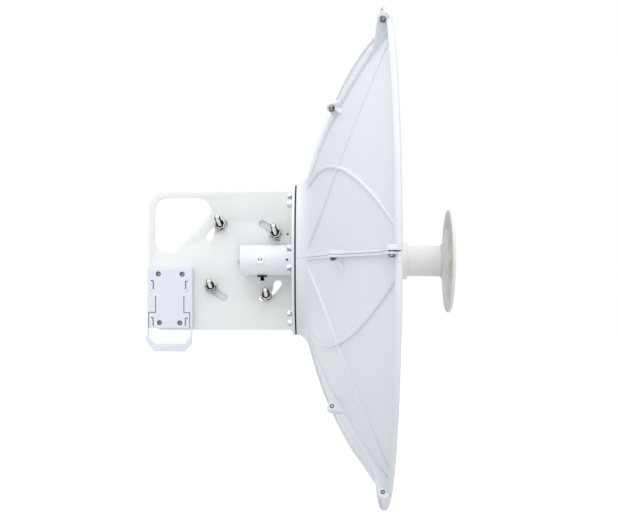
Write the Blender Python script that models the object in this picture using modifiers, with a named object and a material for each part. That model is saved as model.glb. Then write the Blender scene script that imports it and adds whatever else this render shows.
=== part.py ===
"""Sectional microwave dish antenna with a tilting pole clamp, modelled at its real size in metres.

The dish looks along +X and +Z is up. The origin is on the flat back of the pole bracket, at the
elevation pivot, and the pole stands on the +Y side of it. The dish axis runs past the pivot on the
-Y side, and angles around that axis are counted from -Y towards +Z.
"""

import math

import bmesh
import bpy
from mathutils import Matrix, Vector

SIXTH = math.radians(60)
GAP = 0.0003

DISH_RADIUS = 0.322
DISH_AXIS_Y = -0.031
PETALS = 6
WALL = 0.0026
SEAM_GAP = 0.0003

BOWL_VERTEX_X = 0.0740
BOWL_WIDTH = 0.850
BOWL_FIRST_RADIUS = 0.146
BOWL_LAST_RADIUS = 0.302
BOWL_STATIONS = 7
PETAL_STEPS = 8

DRUM_BACK_X = 0.0699
DRUM_INNER_RADIUS = 0.060
RIM_RADIUS = DISH_RADIUS - WALL
RIM_BACK_X = 0.1836
RIM_SKIRT_X = 0.1786

FLANGE_THICKNESS = 0.0030
FLANGE_END_X = 0.1678
LUG_RADIUS = 0.0062
LUG_HOLE_RADIUS = 0.0028
INNER_LUG = (0.2110, 0.1156)
OUTER_LUG = (0.3210, 0.1742)
INNER_BOSS_HEIGHT = 0.0055
OUTER_BOSS = (0.3210, 0.1752)
OUTER_BOSS_RADIUS = 0.0072
OUTER_BOSS_HEIGHT = 0.0068
SEAM_HEAD_RADIUS = 0.0039
SEAM_HEAD_HEIGHT = 0.0033
SEAM_SHANK_RADIUS = 0.0024
SEAM_SHANK_END = 0.0050
SEAM_SOCKET_RADIUS = 0.0020

BACK_PLATE_RADIUS = 0.0985
BACK_PLATE_THICKNESS = 0.003
BACK_PLATE_FRONT_X = DRUM_BACK_X - GAP
HUB_BOLT_CIRCLE = 0.0874
HUB_BOLT_ANGLE = math.radians(8)
HUB_BOLT_ACROSS_FLATS = 0.008
HUB_BOLT_HEAD = 0.0048
HUB_BOLT_WASHER_RADIUS = 0.0048
HUB_BOLT_WASHER = 0.0012
HUB_BOLT_SHANK_RADIUS = 0.0022
HUB_BOLT_HOLE_RADIUS = 0.0026
HUB_BOLT_END_X = 0.0770

SHEET = 0.003
BRACKET_FRONT_Y = -SHEET
PLATE_BACK_Y = BRACKET_FRONT_Y - 0.0004
PLATE_FRONT_Y = PLATE_BACK_Y - SHEET
PLATE_LEFT_X = -0.1251
PLATE_HALF_HEIGHT = 0.0915
PLATE_CORNER_RADIUS = 0.020
PLATE_WINDOW_RADIUS = 0.0172
PLATE_FLANGE_X = BACK_PLATE_FRONT_X - BACK_PLATE_THICKNESS - GAP
PLATE_FLANGE_RADIUS = 0.0965
PLATE_FOLD_HOLE = (0.0588, 0.0352)
PLATE_FOLD_HOLE_RADIUS = 0.0021

SLOT_RADIUS = 0.0552
SLOT_WIDTH = 0.0096
SLOT_MIDDLE = math.radians(48)
SLOT_HALF_TRAVEL = math.radians(14.5)
PIVOT_STUD_RADIUS = 0.004
PIVOT_NUT_ACROSS_FLATS = 0.013
PIVOT_NUT_HEIGHT = 0.004

CLAMP_TILT = math.radians(9)
BRACKET_HALF_WIDTH = 0.0443
BRACKET_HALF_HEIGHT = 0.060
BRACKET_EAR_DEPTH = 0.028
BRACKET_EAR_CORNER = 0.008
BRACKET_NOTCH_MIDDLE = 0.042
BRACKET_NOTCH_RADIUS = 0.0075
BRACKET_NOTCH_END_X = 0.0335
BRACKET_HOLE_RADIUS = 0.0055
BRACKET_HOLES = ((-0.0366, 0.0406), (0.0366, 0.0406), (-0.0366, -0.0416))
BRACKET_V_HALF_WIDTH = 0.031
BRACKET_V_DEPTH = 0.021
BRACKET_TEETH = 5

U_BOLT_ROD_RADIUS = 0.0039
U_BOLT_HALF_SPACING = SLOT_RADIUS * math.cos(SLOT_MIDDLE)
U_BOLT_HEIGHT = SLOT_RADIUS * math.sin(SLOT_MIDDLE)
U_BOLT_LEG_FRONT = 0.037
U_BOLT_BEND_Y = 0.040
UPPER_DROOP = math.radians(13)
LOWER_DROOP = math.radians(10)
NUT_ACROSS_FLATS = 0.013
NUT_HEIGHT = 0.0065
WASHER_RADIUS = 0.008
WASHER_THICKNESS = 0.0016
NUT_BORE_RADIUS = U_BOLT_ROD_RADIUS + GAP

FEED_RADIUS = 0.0198
FEED_REAR_X = -0.0021
FEED_REAR_END_X = 0.078
FEED_TUBE_FRONT_X = 0.2585
SLEEVE_RADIUS = 0.0233
SLEEVE_FRONT_X = 0.215
SLEEVE_FOOT_RADIUS = 0.050
SLEEVE_FOOT = 0.004
SUBREFLECTOR_RADIUS = 0.0674
SUBREFLECTOR_BACK_X = 0.2657
SUBREFLECTOR_FRONT_X = 0.2714

BOSS_X = 0.0240
PLUG_RADIUS = 0.0056
PLUG_HEIGHT = 0.0024
CONNECTOR_X = 0.0262
CONNECTOR_FLANGE = (0.0124, 0.0124, 0.0018)
CONNECTOR_BARREL_RADIUS = 0.0028
CONNECTOR_BARREL_LENGTH = 0.0051

CRADLE_LEFT_X = -0.1256
CRADLE_RIGHT_X = -0.0662
CRADLE_TOP_Z = -0.0100
CRADLE_BOTTOM_Z = -0.0890
CRADLE_DEPTH = 0.0105
CRADLE_SCREWS = ((-0.1115, -0.0176), (-0.0801, -0.0180), (-0.1099, -0.0818), (-0.0831, -0.0821))
CRADLE_SCREW_HOLE_RADIUS = 0.0034
LATCH_DEPTH = 0.0036
LATCH_ARM = 0.0022

WHITE_PLASTIC = ((0.80, 0.83, 0.86), 0.42, 0.0)
WHITE_ENAMEL = ((0.78, 0.81, 0.80), 0.45, 0.0)
STAINLESS = ((0.55, 0.53, 0.50), 0.28, 1.0)
DARK_STEEL = ((0.10, 0.10, 0.10), 0.40, 1.0)
FEED_PLASTIC = ((0.78, 0.77, 0.77), 0.40, 0.0)
CRADLE_PLASTIC = ((0.76, 0.78, 0.88), 0.45, 0.0)


def clear_scene():
    for obj in list(bpy.data.objects):
        bpy.data.objects.remove(obj, do_unlink=True)


def new_collection(name):
    collection = bpy.data.collections.new(name)
    bpy.context.scene.collection.children.link(collection)
    return collection


def new_object(name, mesh, collection, parent=None, matrix=None):
    obj = bpy.data.objects.new(name, mesh)
    collection.objects.link(obj)
    obj.parent = parent
    if matrix is not None:
        obj.matrix_local = matrix
    return obj


def paint(obj, finish):
    colour, roughness, metallic = finish
    surface = bpy.data.materials.new(obj.name + "_finish")
    surface.use_nodes = True
    shader = surface.node_tree.nodes["Principled BSDF"]
    shader.inputs["Base Color"].default_value = (*colour, 1.0)
    shader.inputs["Roughness"].default_value = roughness
    shader.inputs["Metallic"].default_value = metallic
    obj.data.materials.clear()
    obj.data.materials.append(surface)


def smooth(obj, degrees=32):
    obj.data.shade_smooth()
    obj.data.set_sharp_from_angle(angle=math.radians(degrees))


def part(name, mesh, finish, parent=None, matrix=None):
    """One named piece of the antenna, with its own finish."""
    obj = new_object(name, mesh, PARTS, parent, matrix)
    paint(obj, finish)
    smooth(obj)
    return obj


def mesh_from(bm, name):
    bmesh.ops.recalc_face_normals(bm, faces=bm.faces)
    mesh = bpy.data.meshes.new(name)
    bm.to_mesh(mesh)
    bm.free()
    return mesh


def prism(name, outline, depth, place=Matrix.Identity(4)):
    """A flat outline in the XY plane, drawn up by depth along Z and then placed."""
    bm = bmesh.new()
    face = bm.faces.new([bm.verts.new((x, y, 0.0)) for x, y in outline])
    grown = bmesh.ops.extrude_face_region(bm, geom=[face])
    raised = [v for v in grown["geom"] if isinstance(v, bmesh.types.BMVert)]
    bmesh.ops.translate(bm, verts=raised, vec=(0.0, 0.0, depth))
    bmesh.ops.transform(bm, matrix=place, verts=bm.verts)
    return mesh_from(bm, name)


def cylinder(name, radius, depth, place=Matrix.Identity(4), sides=24, turn=0.0):
    """A round or many-sided bar standing on the XY plane, then placed."""
    bm = bmesh.new()
    bmesh.ops.create_cone(
        bm, cap_ends=True, segments=sides, radius1=radius, radius2=radius, depth=depth,
        matrix=place @ Matrix.Translation((0, 0, depth / 2)) @ Matrix.Rotation(turn, 4, "Z"),
    )
    return mesh_from(bm, name)


def box(name, low, high, place=Matrix.Identity(4)):
    size = [b - a for a, b in zip(low, high)]
    middle = [(a + b) / 2 for a, b in zip(low, high)]
    bm = bmesh.new()
    frame = place @ Matrix.Translation(middle) @ Matrix.Diagonal((*size, 1))
    bmesh.ops.create_cube(bm, size=1.0, matrix=frame)
    return mesh_from(bm, name)


def turned(name, profile, sides):
    """A solid of revolution about X from (x, radius) points that start and end on the axis."""
    mesh = bpy.data.meshes.new(name)
    points = [(x, 0.0, radius) for x, radius in profile]
    mesh.from_pydata(points, [(i, i + 1) for i in range(len(points) - 1)], [])
    blank = new_object(name + "_profile", mesh, CUTTERS)
    screw = blank.modifiers.new("turn", "SCREW")
    screw.axis = "X"
    screw.steps = sides
    screw.render_steps = sides
    screw.use_merge_vertices = True
    screw.merge_threshold = 0.0000001
    solid = applied(blank, name)
    bpy.data.objects.remove(blank, do_unlink=True)
    bm = bmesh.new()
    bm.from_mesh(solid)
    bmesh.ops.remove_doubles(bm, verts=bm.verts, dist=0.000001)
    return mesh_from(bm, name)


def turned_ring(name, profile, sides):
    """A closed ring about X from a closed loop of (x, radius) points."""
    bm = bmesh.new()
    face = bm.faces.new([bm.verts.new((x, 0.0, radius)) for x, radius in profile])
    edges = list(face.edges)
    bm.faces.remove(face)
    bmesh.ops.spin(
        bm, geom=edges, cent=(0, 0, 0), axis=(1, 0, 0), angle=2 * math.pi, steps=sides, use_merge=True
    )
    bmesh.ops.remove_doubles(bm, verts=bm.verts, dist=0.000001)
    return mesh_from(bm, name)


def applied(obj, name):
    """The object's mesh after its modifiers."""
    bpy.context.view_layer.update()
    graph = bpy.context.evaluated_depsgraph_get()
    mesh = bpy.data.meshes.new_from_object(obj.evaluated_get(graph))
    mesh.name = name
    return mesh


def combined(name, mesh, steps):
    """The mesh after a row of Boolean steps, each an operation and the mesh it uses."""
    body = new_object(name + "_blank", mesh, CUTTERS)
    tools = []
    for number, (operation, other) in enumerate(steps):
        tool = new_object("%s_tool_%d" % (name, number), other, CUTTERS)
        tool.hide_render = True
        tool.display_type = "WIRE"
        step = body.modifiers.new("step_%d" % number, "BOOLEAN")
        step.operation = operation
        step.object = tool
        tools.append(tool)
    result = applied(body, name)
    for obj in [body, *tools]:
        bpy.data.objects.remove(obj, do_unlink=True)
    return result


def arc(centre, radius, start, end, steps):
    """Points along an arc, with its angles in degrees."""
    angles = [math.radians(start + (end - start) * i / steps) for i in range(steps + 1)]
    return [(centre[0] + radius * math.cos(a), centre[1] + radius * math.sin(a)) for a in angles]


def along(axis, at=(0.0, 0.0, 0.0)):
    """A frame at a point whose Z runs along the given direction."""
    turn = Vector(axis).to_track_quat("Z", "Y").to_matrix().to_4x4()
    return Matrix.Translation(at) @ turn


def bowl_x(radius):
    return BOWL_VERTEX_X + radius * radius / BOWL_WIDTH


def petal_profile():
    """The back of a petal from the drum's inner edge to the end of the rim's skirt, as (x, radius)."""
    drum = [
        (DRUM_BACK_X, DRUM_INNER_RADIUS), (DRUM_BACK_X, 0.0945), (0.0714, 0.0974), (0.0765, 0.0980),
        (0.0806, 0.0995), (0.0842, 0.1032), (0.0874, 0.1100), (0.0905, 0.1190), (0.0939, 0.1300),
    ]
    step = (BOWL_LAST_RADIUS - BOWL_FIRST_RADIUS) / BOWL_STATIONS
    radii = [BOWL_FIRST_RADIUS + step * i for i in range(BOWL_STATIONS + 1)]
    rim = [(RIM_BACK_X, 0.3085), (RIM_BACK_X, 0.3170), (RIM_BACK_X - 0.0010, RIM_RADIUS)]
    rim.append((RIM_SKIRT_X, RIM_RADIUS))
    return drum + [(bowl_x(r), r) for r in radii] + rim


def offset_profile(points, distance):
    """The same line moved sideways, to its front and outer side, by the wall's thickness."""
    moved = []
    for i, here in enumerate(points):
        before = points[max(i - 1, 0)]
        after = points[min(i + 1, len(points) - 1)]
        normals = []
        for a, b in ((before, here), (here, after)):
            run = Vector((b[0] - a[0], b[1] - a[1]))
            if run.length > 0:
                normals.append(Vector((run.y, -run.x)).normalized())
        normal = sum(normals, Vector((0.0, 0.0))).normalized()
        reach = distance / max(normal.dot(normals[0]), 0.5)
        moved.append((here[0] + normal.x * reach, here[1] + normal.y * reach))
    return moved


def seam_plane(angle):
    """A frame in a seam's plane: x outwards, y along the dish axis, z towards growing angles."""
    x = Vector((0, -math.cos(angle), math.sin(angle)))
    y = Vector((1, 0, 0))
    return Matrix((x, y, x.cross(y))).transposed().to_4x4()


def flange_outline():
    """A petal's edge flange as (radius, x) points, with a round lug at each seam bolt."""
    root = [(r, bowl_x(r) + WALL * 0.5) for r in (0.3065, 0.28, 0.24, 0.20, 0.16, 0.132)]
    root += [(0.1170, 0.0912), (0.1085, 0.0880)]
    start = [(0.1110, 0.0850), (0.150, bowl_x(0.150) - 0.0026), (0.190, bowl_x(0.190) - 0.0042)]
    inner = arc(INNER_LUG, LUG_RADIUS, 205, 355, 8)
    middle = [(r, bowl_x(r) - 0.0055) for r in (0.224, 0.250, 0.274)] + [(0.2935, FLANGE_END_X)]
    outer = arc(OUTER_LUG, LUG_RADIUS, 262, 410, 8)
    return start + inner + middle + outer + [(0.3208, 0.1828), (0.3180, RIM_BACK_X + WALL * 0.5)] + root


def block_outline():
    """The raised block round the inner seam bolt: its lug's round end, widened to meet the bowl."""
    near, far = 0.1990, 0.2195
    end = arc(INNER_LUG, LUG_RADIUS - GAP, 205, 360, 8)
    return [(near, bowl_x(near) + 0.001), (near, 0.1152)] + end + [(far, bowl_x(far) + 0.001)]


def petal_mesh():
    """One sixth of the dish: drum floor, flare, bowl and rolled rim, with a bolted flange on each side."""
    back = petal_profile()
    front = offset_profile(back, WALL)
    half = SIXTH / 2
    bm = bmesh.new()
    loop = [bm.verts.new((x, -r * math.cos(half), -r * math.sin(half))) for x, r in back + front[::-1]]
    face = bm.faces.new(loop)
    bmesh.ops.spin(
        bm, geom=[face, *face.edges, *loop], cent=(0, 0, 0), axis=(-1, 0, 0), angle=SIXTH, steps=PETAL_STEPS
    )
    for vert in bm.verts:
        angle = math.atan2(vert.co.z, -vert.co.y)
        if half - abs(angle) < 0.001:
            side = math.copysign(1, angle)
            vert.co += Vector((0, -math.sin(half), -side * math.cos(half))) * (SEAM_GAP / 2)
    shell = mesh_from(bm, "petal_shell")
    steps = []
    for side in (-1, 1):
        frame = seam_plane(side * half)
        low = SEAM_GAP if side < 0 else -SEAM_GAP - FLANGE_THICKNESS
        place = frame @ Matrix.Translation((0, 0, low))
        steps.append(("UNION", prism("flange", flange_outline(), FLANGE_THICKNESS, place)))
    block = seam_plane(-half) @ Matrix.Translation((0, 0, 0.001))
    steps.append(("UNION", prism("block", block_outline(), INNER_BOSS_HEIGHT - 0.001, block)))
    boss = seam_plane(-half) @ Matrix.Translation((*OUTER_BOSS, 0.0006))
    steps.append(("UNION", cylinder("boss", OUTER_BOSS_RADIUS, OUTER_BOSS_HEIGHT - 0.0006, boss, 16)))
    for radius, x in (INNER_LUG, OUTER_LUG):
        for side in (-1, 1):
            hole = seam_plane(side * half) @ Matrix.Translation((radius, x, -0.02))
            steps.append(("DIFFERENCE", cylinder("hole", LUG_HOLE_RADIUS, 0.04, hole, 8)))
    for side in (-1, 1):
        angle = side * (half - HUB_BOLT_ANGLE)
        at = (DRUM_BACK_X - 0.01, -HUB_BOLT_CIRCLE * math.cos(angle), HUB_BOLT_CIRCLE * math.sin(angle))
        steps.append(("DIFFERENCE", cylinder("hole", HUB_BOLT_HOLE_RADIUS, 0.03, along((1, 0, 0), at), 8)))
    return combined("petal", shell, steps)


def dish_frame(angle):
    """The dish's own frame, turned about the dish axis so that -Y goes to the given angle."""
    return Matrix.Translation((0, DISH_AXIS_Y, 0)) @ Matrix.Rotation(-angle, 4, "X")


def build_petals(tilting):
    mesh = petal_mesh()
    for number in range(PETALS):
        angle = SIXTH * (number + 0.5)
        part("petal_%d" % (number + 1), mesh.copy(), WHITE_PLASTIC, tilting, dish_frame(angle))


def seam_bolt_mesh():
    """A socket-head screw along +Z, its head below the flange and its shank through both flanges."""
    seat = -SEAM_GAP - FLANGE_THICKNESS - GAP
    head = cylinder(
        "head", SEAM_HEAD_RADIUS, SEAM_HEAD_HEIGHT, Matrix.Translation((0, 0, seat - SEAM_HEAD_HEIGHT)), 12
    )
    shank = cylinder(
        "shank", SEAM_SHANK_RADIUS, SEAM_SHANK_END - seat + 0.001, Matrix.Translation((0, 0, seat - 0.001)), 8
    )
    depth = SEAM_HEAD_HEIGHT * 0.6
    bottom = seat - SEAM_HEAD_HEIGHT + depth
    socket = cylinder("socket", SEAM_SOCKET_RADIUS, 0.004, Matrix.Translation((0, 0, bottom - 0.004)), 6)
    return combined("seam_bolt", head, [("UNION", shank), ("DIFFERENCE", socket)])


def build_seam_bolts(tilting):
    mesh = seam_bolt_mesh()
    for number in range(PETALS):
        frame = dish_frame(SIXTH * number) @ seam_plane(0.0)
        for place, (radius, x) in (("inner", INNER_LUG), ("outer", OUTER_LUG)):
            name = "seam_bolt_%s_%d" % (place, number + 1)
            part(name, mesh.copy(), DARK_STEEL, tilting, frame @ Matrix.Translation((radius, x, 0)))


def hub_bolt_angles():
    """Two bolts beside each seam, starting with the pair at the -Y seam."""
    return [SIXTH * seam + side * HUB_BOLT_ANGLE for seam in range(PETALS) for side in (-1, 1)]


def hub_point(angle, x, radius=HUB_BOLT_CIRCLE):
    return Vector((x, DISH_AXIS_Y - radius * math.cos(angle), radius * math.sin(angle)))


def build_back_plate(tilting):
    back_x = BACK_PLATE_FRONT_X - BACK_PLATE_THICKNESS
    disc = cylinder(
        "disc", BACK_PLATE_RADIUS, BACK_PLATE_THICKNESS, along((1, 0, 0), (back_x, DISH_AXIS_Y, 0)), 48
    )
    steps = [(
        "DIFFERENCE",
        cylinder("bore", FEED_RADIUS + 0.0004, 0.02, along((1, 0, 0), (back_x - 0.01, DISH_AXIS_Y, 0)), 32),
    )]
    for angle in hub_bolt_angles():
        at = hub_point(angle, back_x - 0.01)
        steps.append(("DIFFERENCE", cylinder("hole", HUB_BOLT_HOLE_RADIUS, 0.02, along((1, 0, 0), at), 8)))
    part("back_plate", combined("back_plate", disc, steps), WHITE_ENAMEL, tilting)


def hub_bolt_mesh(seat_x):
    """A flanged hex bolt along X whose washer face sits just behind seat_x."""
    face = seat_x - GAP
    head_x = face - HUB_BOLT_WASHER - HUB_BOLT_HEAD
    across = HUB_BOLT_ACROSS_FLATS / math.sqrt(3)
    head = cylinder("head", across, HUB_BOLT_HEAD + 0.0004, along((1, 0, 0), (head_x, 0, 0)), 6)
    start = along((1, 0, 0), (face - HUB_BOLT_WASHER, 0, 0))
    washer = cylinder("washer", HUB_BOLT_WASHER_RADIUS, HUB_BOLT_WASHER, start, 12)
    shank = cylinder(
        "shank", HUB_BOLT_SHANK_RADIUS, HUB_BOLT_END_X - face + 0.0004,
        along((1, 0, 0), (face - 0.0004, 0, 0)), 8,
    )
    return combined("hub_bolt", head, [("UNION", washer), ("UNION", shank)])


def build_hub_bolts(tilting):
    plate_x = BACK_PLATE_FRONT_X - BACK_PLATE_THICKNESS
    flange_x = PLATE_FLANGE_X - SHEET
    for number, angle in enumerate(hub_bolt_angles()):
        at = hub_point(angle, 0.0)
        on_flange = at.y > PLATE_FRONT_Y
        mesh = hub_bolt_mesh(flange_x if on_flange else plate_x)
        part("hub_bolt_%02d" % (number + 1), mesh, STAINLESS, tilting, Matrix.Translation(at))


def window_outline():
    """The hand-hold window: a right-angled triangle with a 45 degree side and round corners."""
    left, top, radius = -0.1173, 0.0836, PLATE_WINDOW_RADIUS
    slant = 0.1025
    corner = (left + radius, top - radius)
    right = (top - radius - slant - radius * math.sqrt(2), top - radius)
    bottom = (left + radius, left + radius + slant + radius * math.sqrt(2))
    return (
        arc(corner, radius, 90, 180, 5) + arc(bottom, radius, 180, 315, 7) + arc(right, radius, -45, 90, 7)
    )


def slot_outline(middle):
    """A slot that follows an arc about the pivot, with round ends."""
    middle, travel = math.degrees(middle), math.degrees(SLOT_HALF_TRAVEL)
    half = SLOT_WIDTH / 2
    turns = [middle - travel, middle + travel]
    ends = [arc((0, 0), SLOT_RADIUS, turn, turn, 1)[0] for turn in turns]
    return (
        arc((0, 0), SLOT_RADIUS + half, middle - travel, middle + travel, 5)
        + arc(ends[1], half, middle + travel, middle + travel + 180, 6)[1:-1]
        + arc((0, 0), SLOT_RADIUS - half, middle + travel, middle - travel, 5)
        + arc(ends[0], half, middle - travel - 180, middle - travel, 6)[1:-1]
    )


def build_mount_plate(tilting):
    """The sheet that carries everything: a flat plate, folded into a half disc behind the back plate."""
    upright = Matrix.Translation((0, PLATE_BACK_Y, 0)) @ Matrix.Rotation(math.radians(90), 4, "X")
    through = Matrix.Translation((0, PLATE_BACK_Y + 0.01, 0)) @ Matrix.Rotation(math.radians(90), 4, "X")
    left, top, radius = PLATE_LEFT_X, PLATE_HALF_HEIGHT, PLATE_CORNER_RADIUS
    right = PLATE_FLANGE_X - SHEET / 2
    outline = [(right, -top), (right, top)]
    outline += arc((left + radius, top - radius), radius, 90, 180, 6)
    outline += arc((left + radius, radius - top), radius, 180, 270, 6)
    sheet = prism("sheet", outline, SHEET, upright)
    start = math.degrees(math.acos((DISH_AXIS_Y - PLATE_FRONT_Y) / PLATE_FLANGE_RADIUS))
    facing = Matrix(((0, 0, 1, PLATE_FLANGE_X - SHEET), (1, 0, 0, DISH_AXIS_Y), (0, 1, 0, 0), (0, 0, 0, 1)))
    half_disc = arc((0, 0), PLATE_FLANGE_RADIUS, start - 180, 180 - start, 20)
    steps = [("UNION", prism("half_disc", half_disc, SHEET, facing))]
    steps.append(("DIFFERENCE", prism("window", window_outline(), 0.02, through)))
    for middle in (SLOT_MIDDLE, math.pi - SLOT_MIDDLE, math.pi + SLOT_MIDDLE, -SLOT_MIDDLE):
        steps.append(("DIFFERENCE", prism("slot", slot_outline(middle), 0.02, through)))
    steps.append(("DIFFERENCE", cylinder("bore", PIVOT_STUD_RADIUS + GAP, 0.02, through, 20)))
    x, z = PLATE_FOLD_HOLE
    relief = through @ Matrix.Translation((x, z, 0))
    steps.append(("DIFFERENCE", cylinder("relief", PLATE_FOLD_HOLE_RADIUS, 0.02, relief, 12)))
    for angle in hub_bolt_angles():
        at = hub_point(angle, PLATE_FLANGE_X - 0.01)
        if at.y > PLATE_FRONT_Y:
            hole = cylinder("hole", HUB_BOLT_HOLE_RADIUS, 0.02, along((1, 0, 0), at), 8)
            steps.append(("DIFFERENCE", hole))
    part("mount_plate", combined("mount_plate", sheet, steps), WHITE_ENAMEL, tilting)


def ear_outline():
    """One of the bracket's ears, seen along the pole: a V mouth with saw teeth that bite the pole."""
    w, deep = BRACKET_HALF_WIDTH, BRACKET_EAR_DEPTH
    half, drop = BRACKET_V_HALF_WIDTH, BRACKET_V_DEPTH
    right = []
    for i in range(BRACKET_TEETH):
        outer = 1 - i / BRACKET_TEETH
        inner = 1 - (i + 1) / BRACKET_TEETH
        right.append((half * outer, deep - drop * (1 - outer)))
        right.append((half * outer - 0.0012, deep - drop * (1 - inner)))
    corner = arc((w - BRACKET_EAR_CORNER, deep - BRACKET_EAR_CORNER), BRACKET_EAR_CORNER, 0, 90, 3)
    right = [(w, -SHEET / 2), *corner, *right]
    return right + [(-x, y) for x, y in right[::-1]]


def build_pole_bracket(clamp):
    """A folded channel against the pole: a web with three holes and a notch, toothed ears, a stud."""
    w, h = BRACKET_HALF_WIDTH, BRACKET_HALF_HEIGHT
    web = box("web", (-w, -SHEET, -h), (w, 0, h))
    steps = []
    for z in (-h, h - SHEET):
        steps.append(("UNION", prism("ear", ear_outline(), SHEET, Matrix.Translation((0, 0, z)))))
    through = Matrix.Translation((0, 0.01, 0)) @ Matrix.Rotation(math.radians(90), 4, "X")
    radius, end = BRACKET_NOTCH_RADIUS, (BRACKET_NOTCH_END_X, -BRACKET_NOTCH_MIDDLE)
    round_end = arc(end, radius, 90, 270, 8)
    outline = [(w + 0.01, end[1] + radius), *round_end, (w + 0.01, end[1] - radius)]
    steps.append(("DIFFERENCE", prism("notch", outline, 0.02, through)))
    for x, z in BRACKET_HOLES:
        hole = cylinder("hole", BRACKET_HOLE_RADIUS, 0.02, through @ Matrix.Translation((x, z, 0)), 20)
        steps.append(("DIFFERENCE", hole))
    stud_length = PLATE_BACK_Y - PLATE_FRONT_Y + PIVOT_NUT_HEIGHT + 0.0012
    stud = along((0, -1, 0), (0, -SHEET + 0.0005, 0))
    steps.append(("UNION", cylinder("stud", PIVOT_STUD_RADIUS, stud_length + 0.0005, stud, 20)))
    part("pole_bracket", combined("pole_bracket", web, steps), WHITE_ENAMEL, clamp)


def build_pivot_nut(clamp):
    """The thin lock nut on the pivot stud, in front of the plate."""
    place = along((0, -1, 0), (0, PLATE_FRONT_Y - GAP, 0))
    blank = cylinder("nut", PIVOT_NUT_ACROSS_FLATS / math.sqrt(3), PIVOT_NUT_HEIGHT, place, 6)
    bore = cylinder("bore", PIVOT_STUD_RADIUS + GAP, 0.03, along((0, -1, 0), (0, 0.01, 0)), 20)
    part("pivot_nut", combined("pivot_nut", blank, [("DIFFERENCE", bore)]), STAINLESS, clamp)


def leg_frame(x, z, droop):
    """A frame on a leg's centre line at the plate's front, whose Z runs forwards and up along the leg."""
    middle_y = (PLATE_FRONT_Y + PLATE_BACK_Y) / 2
    axis = Vector((0, -math.cos(droop), math.sin(droop)))
    to_front = (middle_y - PLATE_FRONT_Y) / math.cos(droop)
    return along(axis, Vector((x, middle_y, z)) + axis * to_front)


def build_u_bolt(clamp, name, z, droop):
    """A threaded rod bent round the pole, hanging loosely so that its bend sags behind the bracket."""
    frame = leg_frame(U_BOLT_HALF_SPACING, z, droop)
    to_bend = (U_BOLT_BEND_Y - PLATE_FRONT_Y) / math.cos(droop)
    radius = U_BOLT_HALF_SPACING
    path = [(radius, U_BOLT_LEG_FRONT)]
    path += arc((0, -to_bend), radius, 0, -180, 14)
    path += [(-radius, U_BOLT_LEG_FRONT)]
    curve = bpy.data.curves.new(name, "CURVE")
    curve.dimensions = "3D"
    curve.bevel_depth = U_BOLT_ROD_RADIUS
    curve.bevel_resolution = 2
    curve.use_fill_caps = True
    spline = curve.splines.new("POLY")
    spline.points.add(len(path) - 1)
    axis = frame.to_3x3() @ Vector((0, 0, 1))
    base = frame.translation
    for point, (x, t) in zip(spline.points, path):
        point.co = (*(Vector((x, base.y, base.z)) + axis * t), 1.0)
    obj = new_object(name + "_rod", curve, CUTTERS)
    mesh = applied(obj, name)
    bpy.data.objects.remove(obj, do_unlink=True)
    bm = bmesh.new()
    bm.from_mesh(mesh)
    bmesh.ops.remove_doubles(bm, verts=bm.verts, dist=0.000001)
    part(name, mesh_from(bm, name), STAINLESS, clamp)


def build_clamp_nut(clamp, name, x, z, droop):
    """A hex nut and its washer, hanging square to their leg with the washer's low edge on the plate."""
    seat = (GAP + WASHER_RADIUS * math.sin(droop)) / math.cos(droop)
    frame = leg_frame(x, z, droop) @ Matrix.Translation((0, 0, seat))
    washer = cylinder("washer", WASHER_RADIUS, WASHER_THICKNESS, frame, 16)
    raised = frame @ Matrix.Translation((0, 0, WASHER_THICKNESS - 0.0003))
    nut = cylinder("nut", NUT_ACROSS_FLATS / math.sqrt(3), NUT_HEIGHT + 0.0003, raised, 6)
    bore = cylinder("bore", NUT_BORE_RADIUS, 0.03, frame @ Matrix.Translation((0, 0, -0.01)), 12)
    mesh = combined(name, washer, [("UNION", nut), ("DIFFERENCE", bore)])
    part(name, mesh, STAINLESS, clamp)


def build_clamp(clamp):
    build_pole_bracket(clamp)
    build_pivot_nut(clamp)
    for level, z, droop in (("upper", U_BOLT_HEIGHT, UPPER_DROOP), ("lower", -U_BOLT_HEIGHT, LOWER_DROOP)):
        build_u_bolt(clamp, "u_bolt_" + level, z, droop)
        for side, x in (("left", -U_BOLT_HALF_SPACING), ("right", U_BOLT_HALF_SPACING)):
            build_clamp_nut(clamp, "clamp_nut_%s_%s" % (level, side), x, z, droop)


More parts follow.
